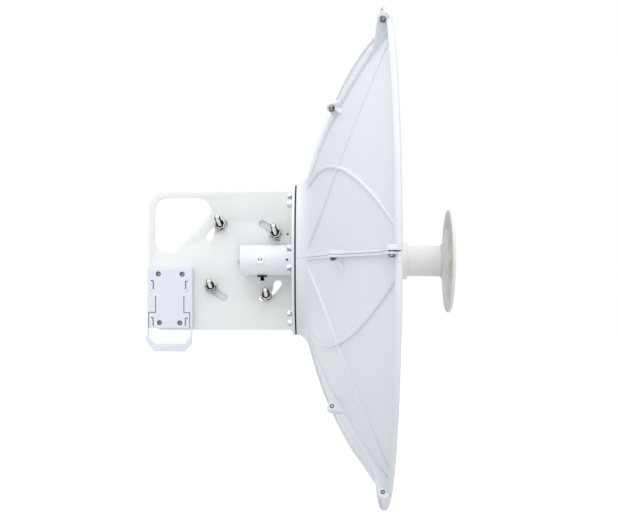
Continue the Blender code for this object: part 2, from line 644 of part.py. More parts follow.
def build_feed(tilting):
    """The feed: a rear housing, a sleeve footed on the back plate, a tube and the subreflector."""
    place = Matrix.Translation((0, DISH_AXIS_Y, 0))
    rear, front = FEED_REAR_X, FEED_REAR_END_X
    r = FEED_RADIUS
    housing = [(rear, 0), (rear, r - 0.0012), (rear + 0.0012, r), (front, r), (front, 0)]
    part("feed_housing", turned("feed_housing", housing[::-1], 32), WHITE_PLASTIC, tilting, place)
    tube = [(front + GAP, 0), (front + GAP, r), (FEED_TUBE_FRONT_X, r), (FEED_TUBE_FRONT_X, 0)]
    part("feed_tube", turned("feed_tube", tube[::-1], 32), FEED_PLASTIC, tilting, place)
    foot_x = BACK_PLATE_FRONT_X + GAP
    inner = r + 0.0004
    sleeve = [
        (foot_x, inner), (foot_x, SLEEVE_FOOT_RADIUS), (foot_x + SLEEVE_FOOT, SLEEVE_FOOT_RADIUS),
        (foot_x + SLEEVE_FOOT, SLEEVE_RADIUS + 0.004), (foot_x + SLEEVE_FOOT + 0.006, SLEEVE_RADIUS),
        (SLEEVE_FRONT_X - 0.001, SLEEVE_RADIUS), (SLEEVE_FRONT_X, SLEEVE_RADIUS - 0.001),
        (SLEEVE_FRONT_X, inner),
    ]
    part("feed_sleeve", turned_ring("feed_sleeve", sleeve, 32), FEED_PLASTIC, tilting, place)
    start = FEED_TUBE_FRONT_X + GAP
    back, face, rim = SUBREFLECTOR_BACK_X, SUBREFLECTOR_FRONT_X, SUBREFLECTOR_RADIUS
    disc = [
        (start, 0), (start, 0.0215), (start + 0.0022, 0.0235), (back - 0.0016, rim - 0.004),
        (back, rim), (face - 0.001, rim), (face, rim - 0.001), (face, rim - 0.006),
        (face - 0.0022, rim - 0.009), (face - 0.0022, 0),
    ]
    part("subreflector", turned("subreflector", disc[::-1], 40), FEED_PLASTIC, tilting, place)


def build_feed_fittings(tilting):
    """The round plug on the housing's near side and the radio connector under it."""
    near = along((0, -1, 0), (BOSS_X, DISH_AXIS_Y - FEED_RADIUS - GAP, 0))
    plug = cylinder("plug", PLUG_RADIUS, PLUG_HEIGHT, near, 24)
    slot = cylinder("recess", 0.0022, 0.002, near @ Matrix.Translation((0, 0, PLUG_HEIGHT - 0.0008)), 16)
    part("feed_plug", combined("feed_plug", plug, [("DIFFERENCE", slot)]), WHITE_PLASTIC, tilting)
    w, d, t = CONNECTOR_FLANGE
    top = -FEED_RADIUS - GAP
    low = (CONNECTOR_X - w / 2, DISH_AXIS_Y - d / 2, top - t)
    high = (CONNECTOR_X + w / 2, DISH_AXIS_Y + d / 2, top)
    barrel = along((0, 0, -1), (CONNECTOR_X, DISH_AXIS_Y, top - t + 0.0004))
    barrel_mesh = cylinder("barrel", CONNECTOR_BARREL_RADIUS, CONNECTOR_BARREL_LENGTH + 0.0004, barrel, 16)
    mesh = combined("feed_connector", box("flange", low, high), [("UNION", barrel_mesh)])
    part("feed_connector", mesh, DARK_STEEL, tilting)


def latch_outline():
    """The latch loop that hangs below the cradle: two arms and a cranked finger bar."""
    outer = [
        (-0.1258, -0.0893), (-0.1258, -0.0979), (-0.1280, -0.1005), (-0.1280, -0.1058),
        (-0.1164, -0.1199), (-0.0762, -0.1199), (-0.0670, -0.1094), (-0.0667, -0.0893),
    ]
    inner = [
        (-0.0667 - LATCH_ARM, -0.0893), (-0.0670 - LATCH_ARM, -0.0999), (-0.0768, -0.1090),
        (-0.1157, -0.1090), (-0.1236, -0.1012), (-0.1258 + LATCH_ARM, -0.0979),
        (-0.1258 + LATCH_ARM, -0.0893),
    ]
    return outer + inner


def build_cradle(tilting):
    """The radio's cradle on the plate, with four deep screw holes, and its latch loop."""
    back = PLATE_FRONT_Y - GAP
    low = (CRADLE_LEFT_X, back - CRADLE_DEPTH, CRADLE_BOTTOM_Z)
    high = (CRADLE_RIGHT_X, back, CRADLE_TOP_Z)
    steps = []
    for x, z in CRADLE_SCREWS:
        hole = along((0, -1, 0), (x, back - 0.004, z))
        steps.append(("DIFFERENCE", cylinder("hole", CRADLE_SCREW_HOLE_RADIUS, 0.02, hole, 12)))
    part("radio_cradle", combined("radio_cradle", box("cradle", low, high), steps), CRADLE_PLASTIC, tilting)
    front_y = back - CRADLE_DEPTH
    place = Matrix.Translation((0, front_y + LATCH_DEPTH, 0)) @ Matrix.Rotation(math.radians(90), 4, "X")
    part("latch_loop", prism("latch_loop", latch_outline(), LATCH_DEPTH, place), CRADLE_PLASTIC, tilting)


def build():
    tilting = new_object("elevation_pivot", None, PARTS)
    clamp = new_object("clamp_frame", None, PARTS, None, Matrix.Rotation(CLAMP_TILT, 4, "Y"))
    build_petals(tilting)
    build_seam_bolts(tilting)
    build_back_plate(tilting)
    build_hub_bolts(tilting)
    build_mount_plate(tilting)
    build_clamp(clamp)
    build_feed(tilting)
    build_feed_fittings(tilting)
    build_cradle(tilting)


clear_scene()
PARTS = new_collection("microwave_dish_antenna")
CUTTERS = new_collection("cutters")
build()
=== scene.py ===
"""The looks of a sectional microwave dish antenna on its tilting pole clamp.

Every length is in metres. The dish looks along +X, its axis lies on the near side of the pole, and
angles around that axis are counted from -Y, towards the camera, to +Z. The sections follow the
antenna as it is put together.
"""

import math

import bmesh
import bpy
import numpy as np
from mathutils import Matrix, Vector


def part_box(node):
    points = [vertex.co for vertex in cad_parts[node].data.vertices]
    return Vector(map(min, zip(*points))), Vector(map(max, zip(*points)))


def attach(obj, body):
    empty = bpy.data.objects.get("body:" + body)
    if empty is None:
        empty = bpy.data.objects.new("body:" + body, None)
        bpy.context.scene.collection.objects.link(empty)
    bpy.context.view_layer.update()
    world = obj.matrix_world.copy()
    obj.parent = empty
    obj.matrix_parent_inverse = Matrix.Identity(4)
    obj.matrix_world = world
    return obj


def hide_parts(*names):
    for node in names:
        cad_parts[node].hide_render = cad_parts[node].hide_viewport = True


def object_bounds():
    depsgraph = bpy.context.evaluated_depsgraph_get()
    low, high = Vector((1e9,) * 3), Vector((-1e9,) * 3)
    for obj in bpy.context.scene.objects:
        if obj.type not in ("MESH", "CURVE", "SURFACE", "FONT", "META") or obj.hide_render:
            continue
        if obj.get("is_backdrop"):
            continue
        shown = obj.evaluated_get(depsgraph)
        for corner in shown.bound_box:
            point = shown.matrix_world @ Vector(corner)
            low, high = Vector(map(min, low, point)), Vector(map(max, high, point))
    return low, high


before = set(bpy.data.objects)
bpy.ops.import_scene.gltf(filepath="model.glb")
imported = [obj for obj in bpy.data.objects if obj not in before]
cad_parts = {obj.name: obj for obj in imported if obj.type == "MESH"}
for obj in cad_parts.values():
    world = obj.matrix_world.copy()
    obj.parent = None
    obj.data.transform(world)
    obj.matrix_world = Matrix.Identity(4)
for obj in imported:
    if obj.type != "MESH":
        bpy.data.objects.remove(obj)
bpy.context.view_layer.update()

# The camera
# It stands a metre and a half from the dish's axis, square to it, behind the reflector's rim plane.
PHOTO_WIDTH = 618
FOCAL_PIXELS = 1175.7
LENS_SHIFT_PIXELS = (-7.3, 38.0)
CAMERA_PLACE = (0.0967, -1.5653, -0.0460)
SENSOR = 36.0

lens = bpy.data.cameras.new("camera")
lens.sensor_width = SENSOR
lens.lens = SENSOR * FOCAL_PIXELS / PHOTO_WIDTH
lens.shift_x = LENS_SHIFT_PIXELS[0] / PHOTO_WIDTH
lens.shift_y = LENS_SHIFT_PIXELS[1] / PHOTO_WIDTH
camera = bpy.data.objects.new("camera", lens)
camera.location = CAMERA_PLACE
camera.rotation_euler = (math.radians(90), 0, 0)
bpy.context.scene.collection.objects.link(camera)
bpy.context.scene.camera = camera
bpy.context.scene.view_settings.view_transform = "Standard"


# The studio
# A pale floor well below the antenna, greyer under it in painted shade, a white surround that gives
# most of its light from above and some from the front, and a weak wide key light.
FLOOR_Z = -1.1
FLOOR_HALF = 30.0
FLOOR_SHADE_TO_WHITE = ("#C6C6C6", "#F4F4F4")
FLOOR_FADE = (2.2, 4.0)
SURROUND_LIGHT = 0.235
SURROUND_LOBES = (("Y", -1, 0.55), ("Z", 1, 1.46))
KEY_FROM = (0.0, -0.42, 0.90)
KEY_STRENGTH = 0.32
KEY_SPREAD = math.radians(50)


def linear(colour):
    """An sRGB hex colour as linear red, green, blue and alpha."""
    values = [int(colour[i:i + 2], 16) / 255 for i in (1, 3, 5)]
    return (*[v / 12.92 if v <= 0.04045 else ((v + 0.055) / 1.055) ** 2.4 for v in values], 1.0)


def fill(tree, node, inputs):
    """Gives each named input of a node its plain value or its link."""
    for name, value in dict(inputs).items():
        if isinstance(value, bpy.types.NodeSocket):
            tree.links.new(value, node.inputs[name])
        else:
            node.inputs[name].default_value = value
    return node


def add_node(tree, kind, inputs=(), **settings):
    """Adds one shader node with its settings, then fills its inputs."""
    made = tree.nodes.new(kind)
    for name, value in settings.items():
        setattr(made, name, value)
    return fill(tree, made, inputs)


def new_finish(name):
    """An empty material, its node tree and its Principled shader, wired to the output."""
    finish = bpy.data.materials.new(name)
    finish.use_nodes = True
    tree = finish.node_tree
    tree.nodes.clear()
    shader = add_node(tree, "ShaderNodeBsdfPrincipled")
    add_node(tree, "ShaderNodeOutputMaterial", {"Surface": shader.outputs["BSDF"]})
    return finish, tree, shader


def studio_floor():
    """A large flat square in matt paint, greyer under the antenna in painted shade that dims the light it
    throws back up.
    """
    mesh = bpy.data.meshes.new("floor")
    corners = [(x * FLOOR_HALF, y * FLOOR_HALF, FLOOR_Z) for x, y in ((-1, -1), (1, -1), (1, 1), (-1, 1))]
    mesh.from_pydata(corners, [], [(0, 1, 2, 3)])
    floor = bpy.data.objects.new("floor", mesh)
    bpy.context.scene.collection.objects.link(floor)
    finish, tree, shader = new_finish("matt_floor_painted_shade")
    place = add_node(tree, "ShaderNodeTexCoord").outputs["Object"]
    away = add_node(tree, "ShaderNodeVectorMath", {0: place}, operation="LENGTH")
    fade = add_node(
        tree, "ShaderNodeMapRange",
        {"Value": away.outputs["Value"], "From Min": FLOOR_FADE[0], "From Max": FLOOR_FADE[1]},
        interpolation_type="SMOOTHSTEP",
    )
    paint = add_node(
        tree, "ShaderNodeMixRGB",
        {"Fac": fade.outputs["Result"], "Color1": linear(FLOOR_SHADE_TO_WHITE[0]), "Color2": linear(FLOOR_SHADE_TO_WHITE[1])},
    )
    fill(tree, shader, {"Base Color": paint.outputs["Color"], "Roughness": 0.9})
    mesh.materials.append(finish)
    floor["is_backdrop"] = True


def studio_light():
    """A surround that the camera sees as plain white and surfaces feel dimmer, and the wide key light."""
    world = bpy.data.worlds.new("studio")
    world.use_nodes = True
    tree = world.node_tree
    tree.nodes.clear()
    way = add_node(tree, "ShaderNodeTexCoord").outputs["Generated"]
    way = add_node(tree, "ShaderNodeSeparateXYZ", {"Vector": way})
    level = SURROUND_LIGHT
    for axis, sign, share in SURROUND_LOBES:
        facing = {0: way.outputs[axis], 1: sign}
        toward = add_node(tree, "ShaderNodeMath", facing, operation="MULTIPLY", use_clamp=True)
        added = {0: toward.outputs["Value"], 1: share, 2: level}
        level = add_node(tree, "ShaderNodeMath", added, operation="MULTIPLY_ADD").outputs["Value"]
    felt = add_node(tree, "ShaderNodeBackground", {"Color": linear("#FFFFFF"), "Strength": level})
    seen = add_node(tree, "ShaderNodeBackground", {"Color": linear("#FFFFFF"), "Strength": 1.0})
    ray = add_node(tree, "ShaderNodeLightPath").outputs["Is Camera Ray"]
    both = {0: ray, 1: felt.outputs["Background"], 2: seen.outputs["Background"]}
    mix = add_node(tree, "ShaderNodeMixShader", both)
    add_node(tree, "ShaderNodeOutputWorld", {"Surface": mix.outputs["Shader"]})
    bpy.context.scene.world = world
    lamp = bpy.data.lights.new("key_light", "SUN")
    lamp.energy = KEY_STRENGTH
    lamp.angle = KEY_SPREAD
    key = bpy.data.objects.new("key_light", lamp)
    key.rotation_euler = (-Vector(KEY_FROM)).to_track_quat("-Z", "Y").to_euler()
    bpy.context.scene.collection.objects.link(key)


studio_floor()
studio_light()

# The petals
# Six moulded sectors of white ASA make the bowl. Each has a flat floor that bolts to the hub, a
# flared drum wall, a rolled rim, two curved ribs that cross on its back, and a flange on each side.
AXIS_Y = -0.031
SECTOR = math.radians(60)
WALL = 0.0026
SEAM_GAP = 0.0003
BOWL_VERTEX = 0.0736
BOWL_WIDTH = 0.850
BOWL_START = 0.130
BOWL_END = 0.2990
DISH_RADIUS = 0.322
DRUM_BACK = 0.0699
GASKET_SEAT = 0.0716
SKIRT_BACK = 0.1786
RIM_BACK = 0.1836
PETAL_COLUMNS = 44
SEAM_DETAIL = (0.0, 0.35, 1.0, 2.0)
MERGE = 0.0000001
UNMOVED = Matrix.Identity(4)


def bowl_x(radius):
    """The bowl's back surface: a parabola, whose x grows with the radius squared over the width."""
    return BOWL_VERTEX + radius * radius / BOWL_WIDTH


def bezier(points, count):
    """A Bezier curve through its control points' weights: each one's share is the binomial formula."""
    t = np.linspace(0, 1, count)[:, None]
    order = len(points) - 1
    return sum(
        math.comb(order, i) * (1 - t) ** (order - i) * t ** i * np.array(p) for i, p in enumerate(points)
    )


def arc(centre, radius, start, end, count):
    """Points on an arc: centre plus radius times (cosine, sine) of angles from start to end, in degrees."""
    a = np.radians(np.linspace(start, end, count))
    return np.c_[centre[0] + radius * np.cos(a), centre[1] + radius * np.sin(a)]


def petal_back():
    """The back of a petal as (x, radius).

    It runs along the floor, the gasket's step, the drum wall, the flare, the bowl and the rim.
    """
    floor = [(DRUM_BACK, 0.060), (DRUM_BACK, 0.0760), (DRUM_BACK, 0.0928), (GASKET_SEAT, 0.0930)]
    wall = [(GASKET_SEAT, 0.0972), (GASKET_SEAT + 0.0007, 0.0977)]
    slope = 2 * BOWL_START / BOWL_WIDTH
    end = np.array([bowl_x(BOWL_START), BOWL_START])
    flare = bezier([(0.0755, 0.0984), (0.0835, 0.1003), end - np.array([slope, 1]) * 0.013, end], 12)
    radii = np.linspace(BOWL_START, BOWL_END, 34)[1:]
    bowl = np.c_[bowl_x(radii), radii]
    turn = bezier([(bowl_x(0.3010), 0.3010), (0.1829, 0.3042), (RIM_BACK, 0.3060), (RIM_BACK, 0.3090)], 7)
    edge = bezier([(RIM_BACK, 0.3165), (RIM_BACK, 0.3188), (RIM_BACK - 0.0006, 0.3194), (0.1820, 0.3194)], 5)
    rim = np.vstack([turn, edge])
    skirt = [(SKIRT_BACK, DISH_RADIUS - WALL), (SKIRT_BACK - 0.0003, DISH_RADIUS - WALL * 0.7)]
    return np.vstack([floor, wall, flare, bowl, rim, skirt])


def unit(rows):
    """Each row scaled to length one."""
    return rows / np.linalg.norm(rows, axis=-1, keepdims=True)


def sideways(line, distance, closed=False):
    """The line moved to its right, along the mean normal of the two runs that meet at each point."""
    ahead = unit(np.roll(line, -1, axis=0) - line)
    behind = np.roll(ahead, 1, axis=0)
    if not closed:
        ahead[-1] = ahead[-2]
        behind[0] = ahead[0]
    tangent = unit(ahead + behind)
    stretch = np.clip((tangent * ahead).sum(1), 0.5, 1.0)
    normal = np.c_[tangent[:, 1], -tangent[:, 0]]
    return line + normal * (distance / stretch)[:, None]


def mesh_of(points, faces):
    """A mesh from an array of points and an array of faces."""
    mesh = bpy.data.meshes.new("mesh")
    faces = [list(map(int, face)) for face in faces]
    mesh.from_pydata(np.asarray(points, float).reshape(-1, 3).tolist(), [], faces)
    return mesh


def grid_faces(rows, columns, close_rows=False, close_columns=False):
    """Quads between neighbours of a grid of points that is stored row by row."""
    i = np.arange(rows if close_rows else rows - 1)[:, None]
    j = np.arange(columns if close_columns else columns - 1)[None, :]
    a = i * columns + j
    b = i * columns + (j + 1) % columns
    c = (i + 1) % rows * columns + (j + 1) % columns
    d = (i + 1) % rows * columns + j
    return np.stack([a, b, c, d], -1).reshape(-1, 4)


def tube_faces(rows, columns):
    """The quads of a grid closed round its rows, and a face over the first row and over the last."""
    ends = [list(range(columns)), list(range((rows - 1) * columns, rows * columns))]
    return grid_faces(rows, columns, close_columns=True).tolist() + ends


def outward(mesh, merge=0.0):
    """Merges doubles if asked, and turns every face of a closed mesh outwards."""
    bm = bmesh.new()
    bm.from_mesh(mesh)
    if merge:
        bmesh.ops.remove_doubles(bm, verts=bm.verts, dist=merge)
    bmesh.ops.recalc_face_normals(bm, faces=bm.faces)
    bm.to_mesh(mesh)
    bm.free()
    return mesh


def petal_shell():
    """The petal's wall: each (x, r) of the closed section is turned to y = -r cos(angle), z = r sin(angle).

    Finer columns take the place of the outer three beside each seam, and the end sections are moved in
    by half the seam's gap.
    """
    back = petal_back()
    section = np.vstack([back, sideways(back, WALL)[::-1]])
    half = SECTOR / 2
    side = np.radians(SEAM_DETAIL)
    angles = np.concatenate([-half + side, np.linspace(-half, half, PETAL_COLUMNS)[3:-3], half - side[::-1]])
    x, r = section[:, :1], section[:, 1:]
    points = np.stack(np.broadcast_arrays(x, -r * np.cos(angles), r * np.sin(angles)), -1)
    for column, sign in ((0, -1), (-1, 1)):
        inward = np.array([0, -math.sin(half), -sign * math.cos(half)])
        points[:, column] += SEAM_GAP / 2 * inward
    rows, columns = points.shape[:2]
    faces = grid_faces(rows, columns, close_rows=True)
    i = np.arange(len(back) - 1)
    j = rows - 1 - i
    for column in (0, columns - 1):
        caps = np.stack([i, i + 1, j - 1, j], -1) * columns + column
        faces = np.vstack([faces, caps])
    return outward(mesh_of(points, faces))


def seam_frame(angle):
    """A frame in a seam's plane: x outwards, y along the dish axis, z towards growing angles."""
    x = Vector((0, -math.cos(angle), math.sin(angle)))
    y = Vector((1, 0, 0))
    return Matrix((x, y, x.cross(y))).transposed().to_4x4()


def plate_mesh(outline, low, high, place):
    """A flat outline between two heights along z, with n-gon faces, then placed."""
    count = len(outline)
    flat = np.c_[outline, np.full(count, low)]
    points = np.vstack([flat, np.c_[outline, np.full(count, high)]])
    i = np.arange(count)
    sides = np.stack([i, (i + 1) % count, (i + 1) % count + count, i + count], -1).tolist()
    mesh = mesh_of(points, sides + [i[::-1].tolist(), (i + count).tolist()])
    mesh.transform(place)
    return outward(mesh)


def inset(outline, distance):
    """A closed outline moved inwards, whichever way round it runs."""
    after = np.roll(outline, -1, axis=0)
    area = (outline[:, 0] * after[:, 1] - outline[:, 1] * after[:, 0]).sum()
    return sideways(outline, -distance * np.sign(area), closed=True)


def soft_plate(outline, low, high, round_low, round_high, place):
    """A flat outline between two heights with rounded edges.

    Near each face the outline is moved in by radius (1 - sin t) at the height radius (1 - cos t).
    """
    outline = np.asarray(outline, float)
    count = len(outline)
    t = np.radians(np.linspace(0, 90, 4))
    levels = [(round_low * (1 - math.sin(a)), low + round_low * (1 - math.cos(a))) for a in t]
    levels += [(round_high * (1 - math.sin(a)), high - round_high * (1 - math.cos(a))) for a in t[::-1]]
    rows = [np.c_[inset(outline, moved), np.full(count, height)] for moved, height in levels]
    mesh = mesh_of(np.vstack(rows), tube_faces(len(rows), count))
    mesh.transform(place)
    return outward(mesh)


def turned_mesh(profile, columns=32, place=UNMOVED, closed=False):
    """A profile of (z, radius) turned about z: x = r cos, y = r sin. A closed one makes a ring."""
    z, r = np.asarray(profile, float).T[:, :, None]
    a = np.linspace(0, 2 * math.pi, columns, endpoint=False)
    points = np.stack(np.broadcast_arrays(r * np.cos(a), r * np.sin(a), z), -1)
    rows = len(profile)
    mesh = mesh_of(points, grid_faces(rows, columns, close_rows=closed, close_columns=True))
    mesh.transform(place)
    return outward(mesh, MERGE)


def spot(surface, point):
    """The frame of a flat surface, whose z points out of it, moved to one of its points."""
    return surface @ Matrix.Translation((*point, 0))


def joined(meshes):
    """One mesh that holds all of these, each still a closed body."""
    bm = bmesh.new()
    for mesh in meshes:
        bm.from_mesh(mesh)
    mesh = bpy.data.meshes.new("mesh")
    bm.to_mesh(mesh)
    bm.free()
    return mesh


def helper_object(name, mesh):
    """An object in the scene that holds the mesh."""
    obj = bpy.data.objects.new(name, mesh)
    bpy.context.scene.collection.objects.link(obj)
    return obj


def finished_mesh(obj):
    """The object's mesh after its modifiers; the object is then removed."""
    bpy.context.view_layer.update()
    graph = bpy.context.evaluated_depsgraph_get()
    mesh = bpy.data.meshes.new_from_object(obj.evaluated_get(graph))
    bpy.data.objects.remove(obj)
    return mesh


def carved(mesh, cuts, added=()):
    """The mesh with others made one with it and then others cut out of it, in exact Boolean steps."""
    body = helper_object("body", mesh)
    tools = []
    for operation, others in (("UNION", added), ("DIFFERENCE", cuts)):
        for other in others:
            tools.append(helper_object("tool", other))
            step = body.modifiers.new("step", "BOOLEAN")
            step.operation = operation
            step.object = tools[-1]
    result = finished_mesh(body)
    for tool in tools:
        bpy.data.objects.remove(tool)
    return result


FLANGE = 0.0030
FLANGE_FACE = 0.0002
FLANGE_EDGE = 0.0010
SEAM_EDGE = 0.0002
FLANGE_HEIGHTS = (
    (0.132, 0.0018), (0.160, 0.0028), (0.190, 0.0037), (0.2030, 0.0044),
    (0.2196, 0.0050), (0.235, 0.0050), (0.270, 0.0051), (0.278, 0.0058),
)
LUG_RADIUS = 0.0062
INNER_LUG = (0.2110, 0.1156)
OUTER_LUG = (0.3210, 0.1742)
LUG_HOLE = 0.0028
RIM_SLOT = (0.3050, 0.1709, 0.0009)
RIM_SLOT_END = (0.34, 0.19)
CUT_THROUGH = 0.02
BLOCK_HEIGHT = 0.0055
BLOCK_SIDES = (0.1990, 0.2195)
BOSS = (0.3210, 0.1752)
BOSS_RADIUS = 0.0071
BOSS_HEIGHT = 0.0068
GUSSET = 0.0026
GUSSET_LENGTH = 0.022


def flange_outline():
    """The flange beside a seam as (radius, x): low by the drum, deeper outwards, with two round lugs."""
    start = [(0.1110, 0.0852), (0.1160, 0.0868)]
    low, middle = [[(r, bowl_x(r) - h) for r, h in FLANGE_HEIGHTS[part:part + 4]] for part in (0, 4)]
    inner = arc(INNER_LUG, LUG_RADIUS, 190, 352, 20)
    deep = [(0.285, 0.1622), (0.292, 0.1647), (0.298, 0.1659), (0.3055, 0.1665), (0.3120, 0.1671)]
    outer = arc(OUTER_LUG, LUG_RADIUS, 250, 415, 20)
    end = [(0.3212, 0.1815), (0.3190, 0.1849), (0.3080, 0.1849)]
    root = [(r, bowl_x(r) + WALL * 0.5) for r in np.linspace(0.296, 0.132, 16)]
    root += [(0.1150, 0.0905), (0.1085, 0.0875)]
    return np.vstack([start, low, inner, middle, deep, outer, end, root])


def block_outline():
    """The flat block round the inner screw's end as (radius, x): the lug's disc widened to the bowl."""
    near, far = BLOCK_SIDES
    start = [(near, bowl_x(near) + 0.001), (near + 0.0004, 0.1165)]
    disc = arc(INNER_LUG, LUG_RADIUS - 0.0003, 215, 350, 16)
    return np.vstack([start, disc, [(far, bowl_x(far) + 0.001)]])


RIB_SPAN = (0.1095, 0.3155)
RIB_CROSSING = 0.203
RIB_TURN = math.radians(250)
RIB_HALF_WIDTH = 0.0022
RIB_HEIGHT = 0.0028
RIB_ROOT = 0.0009
RIB_STEPS = 90
RIB_GROUND = (0.0976, 0.318)
RIB_FOOT = 1.1
RIB_ROUNDNESS = (0.7, 0.8)


def rib_mesh(mirror):
    """A rounded bar on the petal's back, along a spiral from the hub to the rim.

    Its angle from the petal's middle grows evenly with the radius: angle = turn (r - crossing). The
    section is half a flattened circle on a short foot, set square to the path and the surface.
    """
    back = petal_back()
    rising = back[(back[:, 1] > RIB_GROUND[0]) & (back[:, 1] < RIB_GROUND[1])]
    order = np.argsort(rising[:, 1])

    def surface(r, angle):
        x = np.interp(r, rising[order, 1], rising[order, 0])
        return np.stack([x, -r * np.cos(angle), r * np.sin(angle)], -1)

    r = np.linspace(*RIB_SPAN, RIB_STEPS)
    angle = mirror * RIB_TURN * (r - RIB_CROSSING)
    path = surface(r, angle)
    along = unit(np.gradient(path, axis=0))
    radial = surface(r + 0.0002, angle) - path
    across = unit(np.cross(along, np.cross(along, radial)))
    rear = unit(np.cross(across, along))
    rear *= -np.sign(rear[:, :1])
    b = np.radians(np.linspace(0, 180, 9))
    sides, crown = RIB_ROUNDNESS
    wide = np.sign(np.cos(b)) * np.abs(np.cos(b)) ** sides
    wide = np.concatenate([[RIB_FOOT], wide, [-RIB_FOOT]]) * RIB_HALF_WIDTH
    tall = np.concatenate([[-RIB_ROOT], np.sin(b) ** crown * RIB_HEIGHT, [-RIB_ROOT]])
    step = np.arange(RIB_STEPS)
    fade = np.clip(np.minimum(step, step[::-1]) / 5, 0.3, 1)[:, None, None]
    points = path[:, None] + across[:, None] * wide[:, None] + rear[:, None] * (tall[:, None] * fade)
    return outward(mesh_of(points, tube_faces(*points.shape[:2])))


def gusset_mesh():
    """A triangular web between the inner lug and the bowl, square to the seam, on the screw head's side."""
    radius, x = INNER_LUG
    z = -FLANGE + 0.0005
    foot = bowl_x(radius) + WALL * 0.4
    outline = [(x + 0.0015, z), (foot, z), (foot, z - GUSSET_LENGTH)]
    square = Matrix(((0, 0, 1, radius - GUSSET / 2), (1, 0, 0, 0), (0, 1, 0, 0), (0, 0, 0, 1)))
    return plate_mesh(np.array(outline), 0.0, GUSSET, square)


def petal_mesh():
    """The whole petal: shell, flanges, ribs, web, block and boss made one, with its holes and slots cut."""
    half = SECTOR / 2
    before, behind = seam_frame(-half), seam_frame(half)
    upper = (FLANGE_FACE, FLANGE_FACE + FLANGE, SEAM_EDGE, FLANGE_EDGE, before)
    lower = (-FLANGE_FACE - FLANGE, -FLANGE_FACE, FLANGE_EDGE, SEAM_EDGE, behind)
    flanges = [soft_plate(flange_outline(), *flange) for flange in (upper, lower)]
    web = gusset_mesh()
    web.transform(behind)
    block = soft_plate(block_outline(), 0.001, BLOCK_HEIGHT, 0.0001, 0.0006, before)
    top, edge = BOSS_HEIGHT, BOSS_RADIUS
    profile = [(0.0007, 0), (0.0007, edge), (top - 0.0009, edge)]
    profile += [(top - 0.0003, edge - 0.0003), (top, edge - 0.0009), (top, 0)]
    boss = turned_mesh(profile, 40, spot(before, BOSS))
    r, x, depth = RIM_SLOT
    far, front = RIM_SLOT_END
    slot = np.array([(r, x), (far, x), (far, front), (r, front)])
    hole = [(-CUT_THROUGH, 0), (-CUT_THROUGH, LUG_HOLE), (CUT_THROUGH, LUG_HOLE), (CUT_THROUGH, 0)]
    cuts = []
    for seam in (before, behind):
        cuts += [turned_mesh(hole, 24, spot(seam, lug)) for lug in (INNER_LUG, OUTER_LUG)]
        cuts.append(plate_mesh(slot, -depth, depth, seam))
    return carved(petal_shell(), cuts, [*flanges, rib_mesh(1), rib_mesh(-1), web, block, boss])


def grained_finish(name, tones, spacings, details, gloss, relief, gloss_follows=1, soft=0.5, **other):
    """A finish in two tones that drift in patches, with a fine grain in its gloss and its relief.

    Spacings are those of the patches and of the grain in metres, and details their octaves. Gloss is
    the noise's span and the roughness at its two ends, and follows the patches (0) or the grain (1).
    Relief is the bumps' strength and depth. Soft is how gently the patches meet, from 0 to 0.5.
    """
    finish, tree, shader = new_finish(name)
    place = add_node(tree, "ShaderNodeTexCoord").outputs["Object"]
    noises = []
    for spacing, detail in zip(spacings, details):
        inputs = {"Vector": place, "Scale": 1 / spacing, "Detail": detail}
        noises.append(add_node(tree, "ShaderNodeTexNoise", inputs).outputs["Fac"])
    patches, grain = noises
    meeting = {"Value": patches, "From Min": 0.5 - soft, "From Max": 0.5 + soft}
    share = add_node(tree, "ShaderNodeMapRange", meeting).outputs["Result"]
    light, dark = tones
    tint = add_node(tree, "ShaderNodeMixRGB", {"Fac": share, "Color1": linear(light), "Color2": linear(dark)})
    span = dict(zip(("From Min", "From Max", "To Min", "To Max"), gloss))
    rough = add_node(tree, "ShaderNodeMapRange", {"Value": noises[gloss_follows], **span})
    bumps = add_node(tree, "ShaderNodeBump", {"Height": grain, "Strength": relief[0], "Distance": relief[1]})
    fill(tree, shader, {
        "Base Color": tint.outputs["Color"], "Roughness": rough.outputs["Result"],
        "Normal": bumps.outputs["Normal"], **other,
    })
    return finish


def moulded_asa():
    """Injection-moulded white ASA: a satin skin with fine spark-eroded grain and faint flow clouds.

    The eye sees soft, wide highlights. The real grain is 0.2 mm, drawn at 0.7 mm so that it shows.
    """
    return grained_finish(
        "moulded_white_asa", ("#DCE0E6", "#D7DCE3"), (0.09, 0.0007), (3, 2), (0.3, 0.7, 0.40, 0.50),
        (0.25, 0.00005), IOR=1.51,
    )


def show(name, mesh, finish, body, slot, *nodes, sharp=35):
    """Puts a finished mesh in the scene as a piece that rides on a body and stands for its nodes."""
    mesh.name = name
    mesh.materials.clear()
    mesh.materials.append(finish)
    mesh.shade_smooth()
    mesh.set_sharp_from_angle(angle=math.radians(sharp))
    piece = helper_object(name, mesh)
    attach(piece, body)
    if nodes:
        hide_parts(*nodes)


def around(angle):
    """The turn about the dish axis that takes -Y to the given angle."""
    return Matrix.Translation((0, AXIS_Y, 0)) @ Matrix.Rotation(-angle, 4, "X")


asa = moulded_asa()
petal = petal_mesh()
for number in range(6):
    copy = petal.copy()
    copy.transform(around(SECTOR * (number + 0.5)))
    show("petal_skin_%d" % (number + 1), copy, asa, "dish", "white_plastic", "petal_%d" % (number + 1))

# The seam screws
# Black-oxide socket-head screws pull each pair of flanges together, heads on the lower side. Their
# tips end flush in the inner blocks and a little way down in the outer bosses.
SCREW_HEAD = 0.0039
SCREW_HEAD_TALL = 0.0033
SCREW_DOME = 0.0012
SCREW_SHANK = 0.0024
SCREW_SOCKET = (0.0020, 0.0020)
TIPS = {INNER_LUG: 0.0051, OUTER_LUG: 0.0056}
THREAD_ENDS = {INNER_LUG: 0.0025, OUTER_LUG: 0.0014}


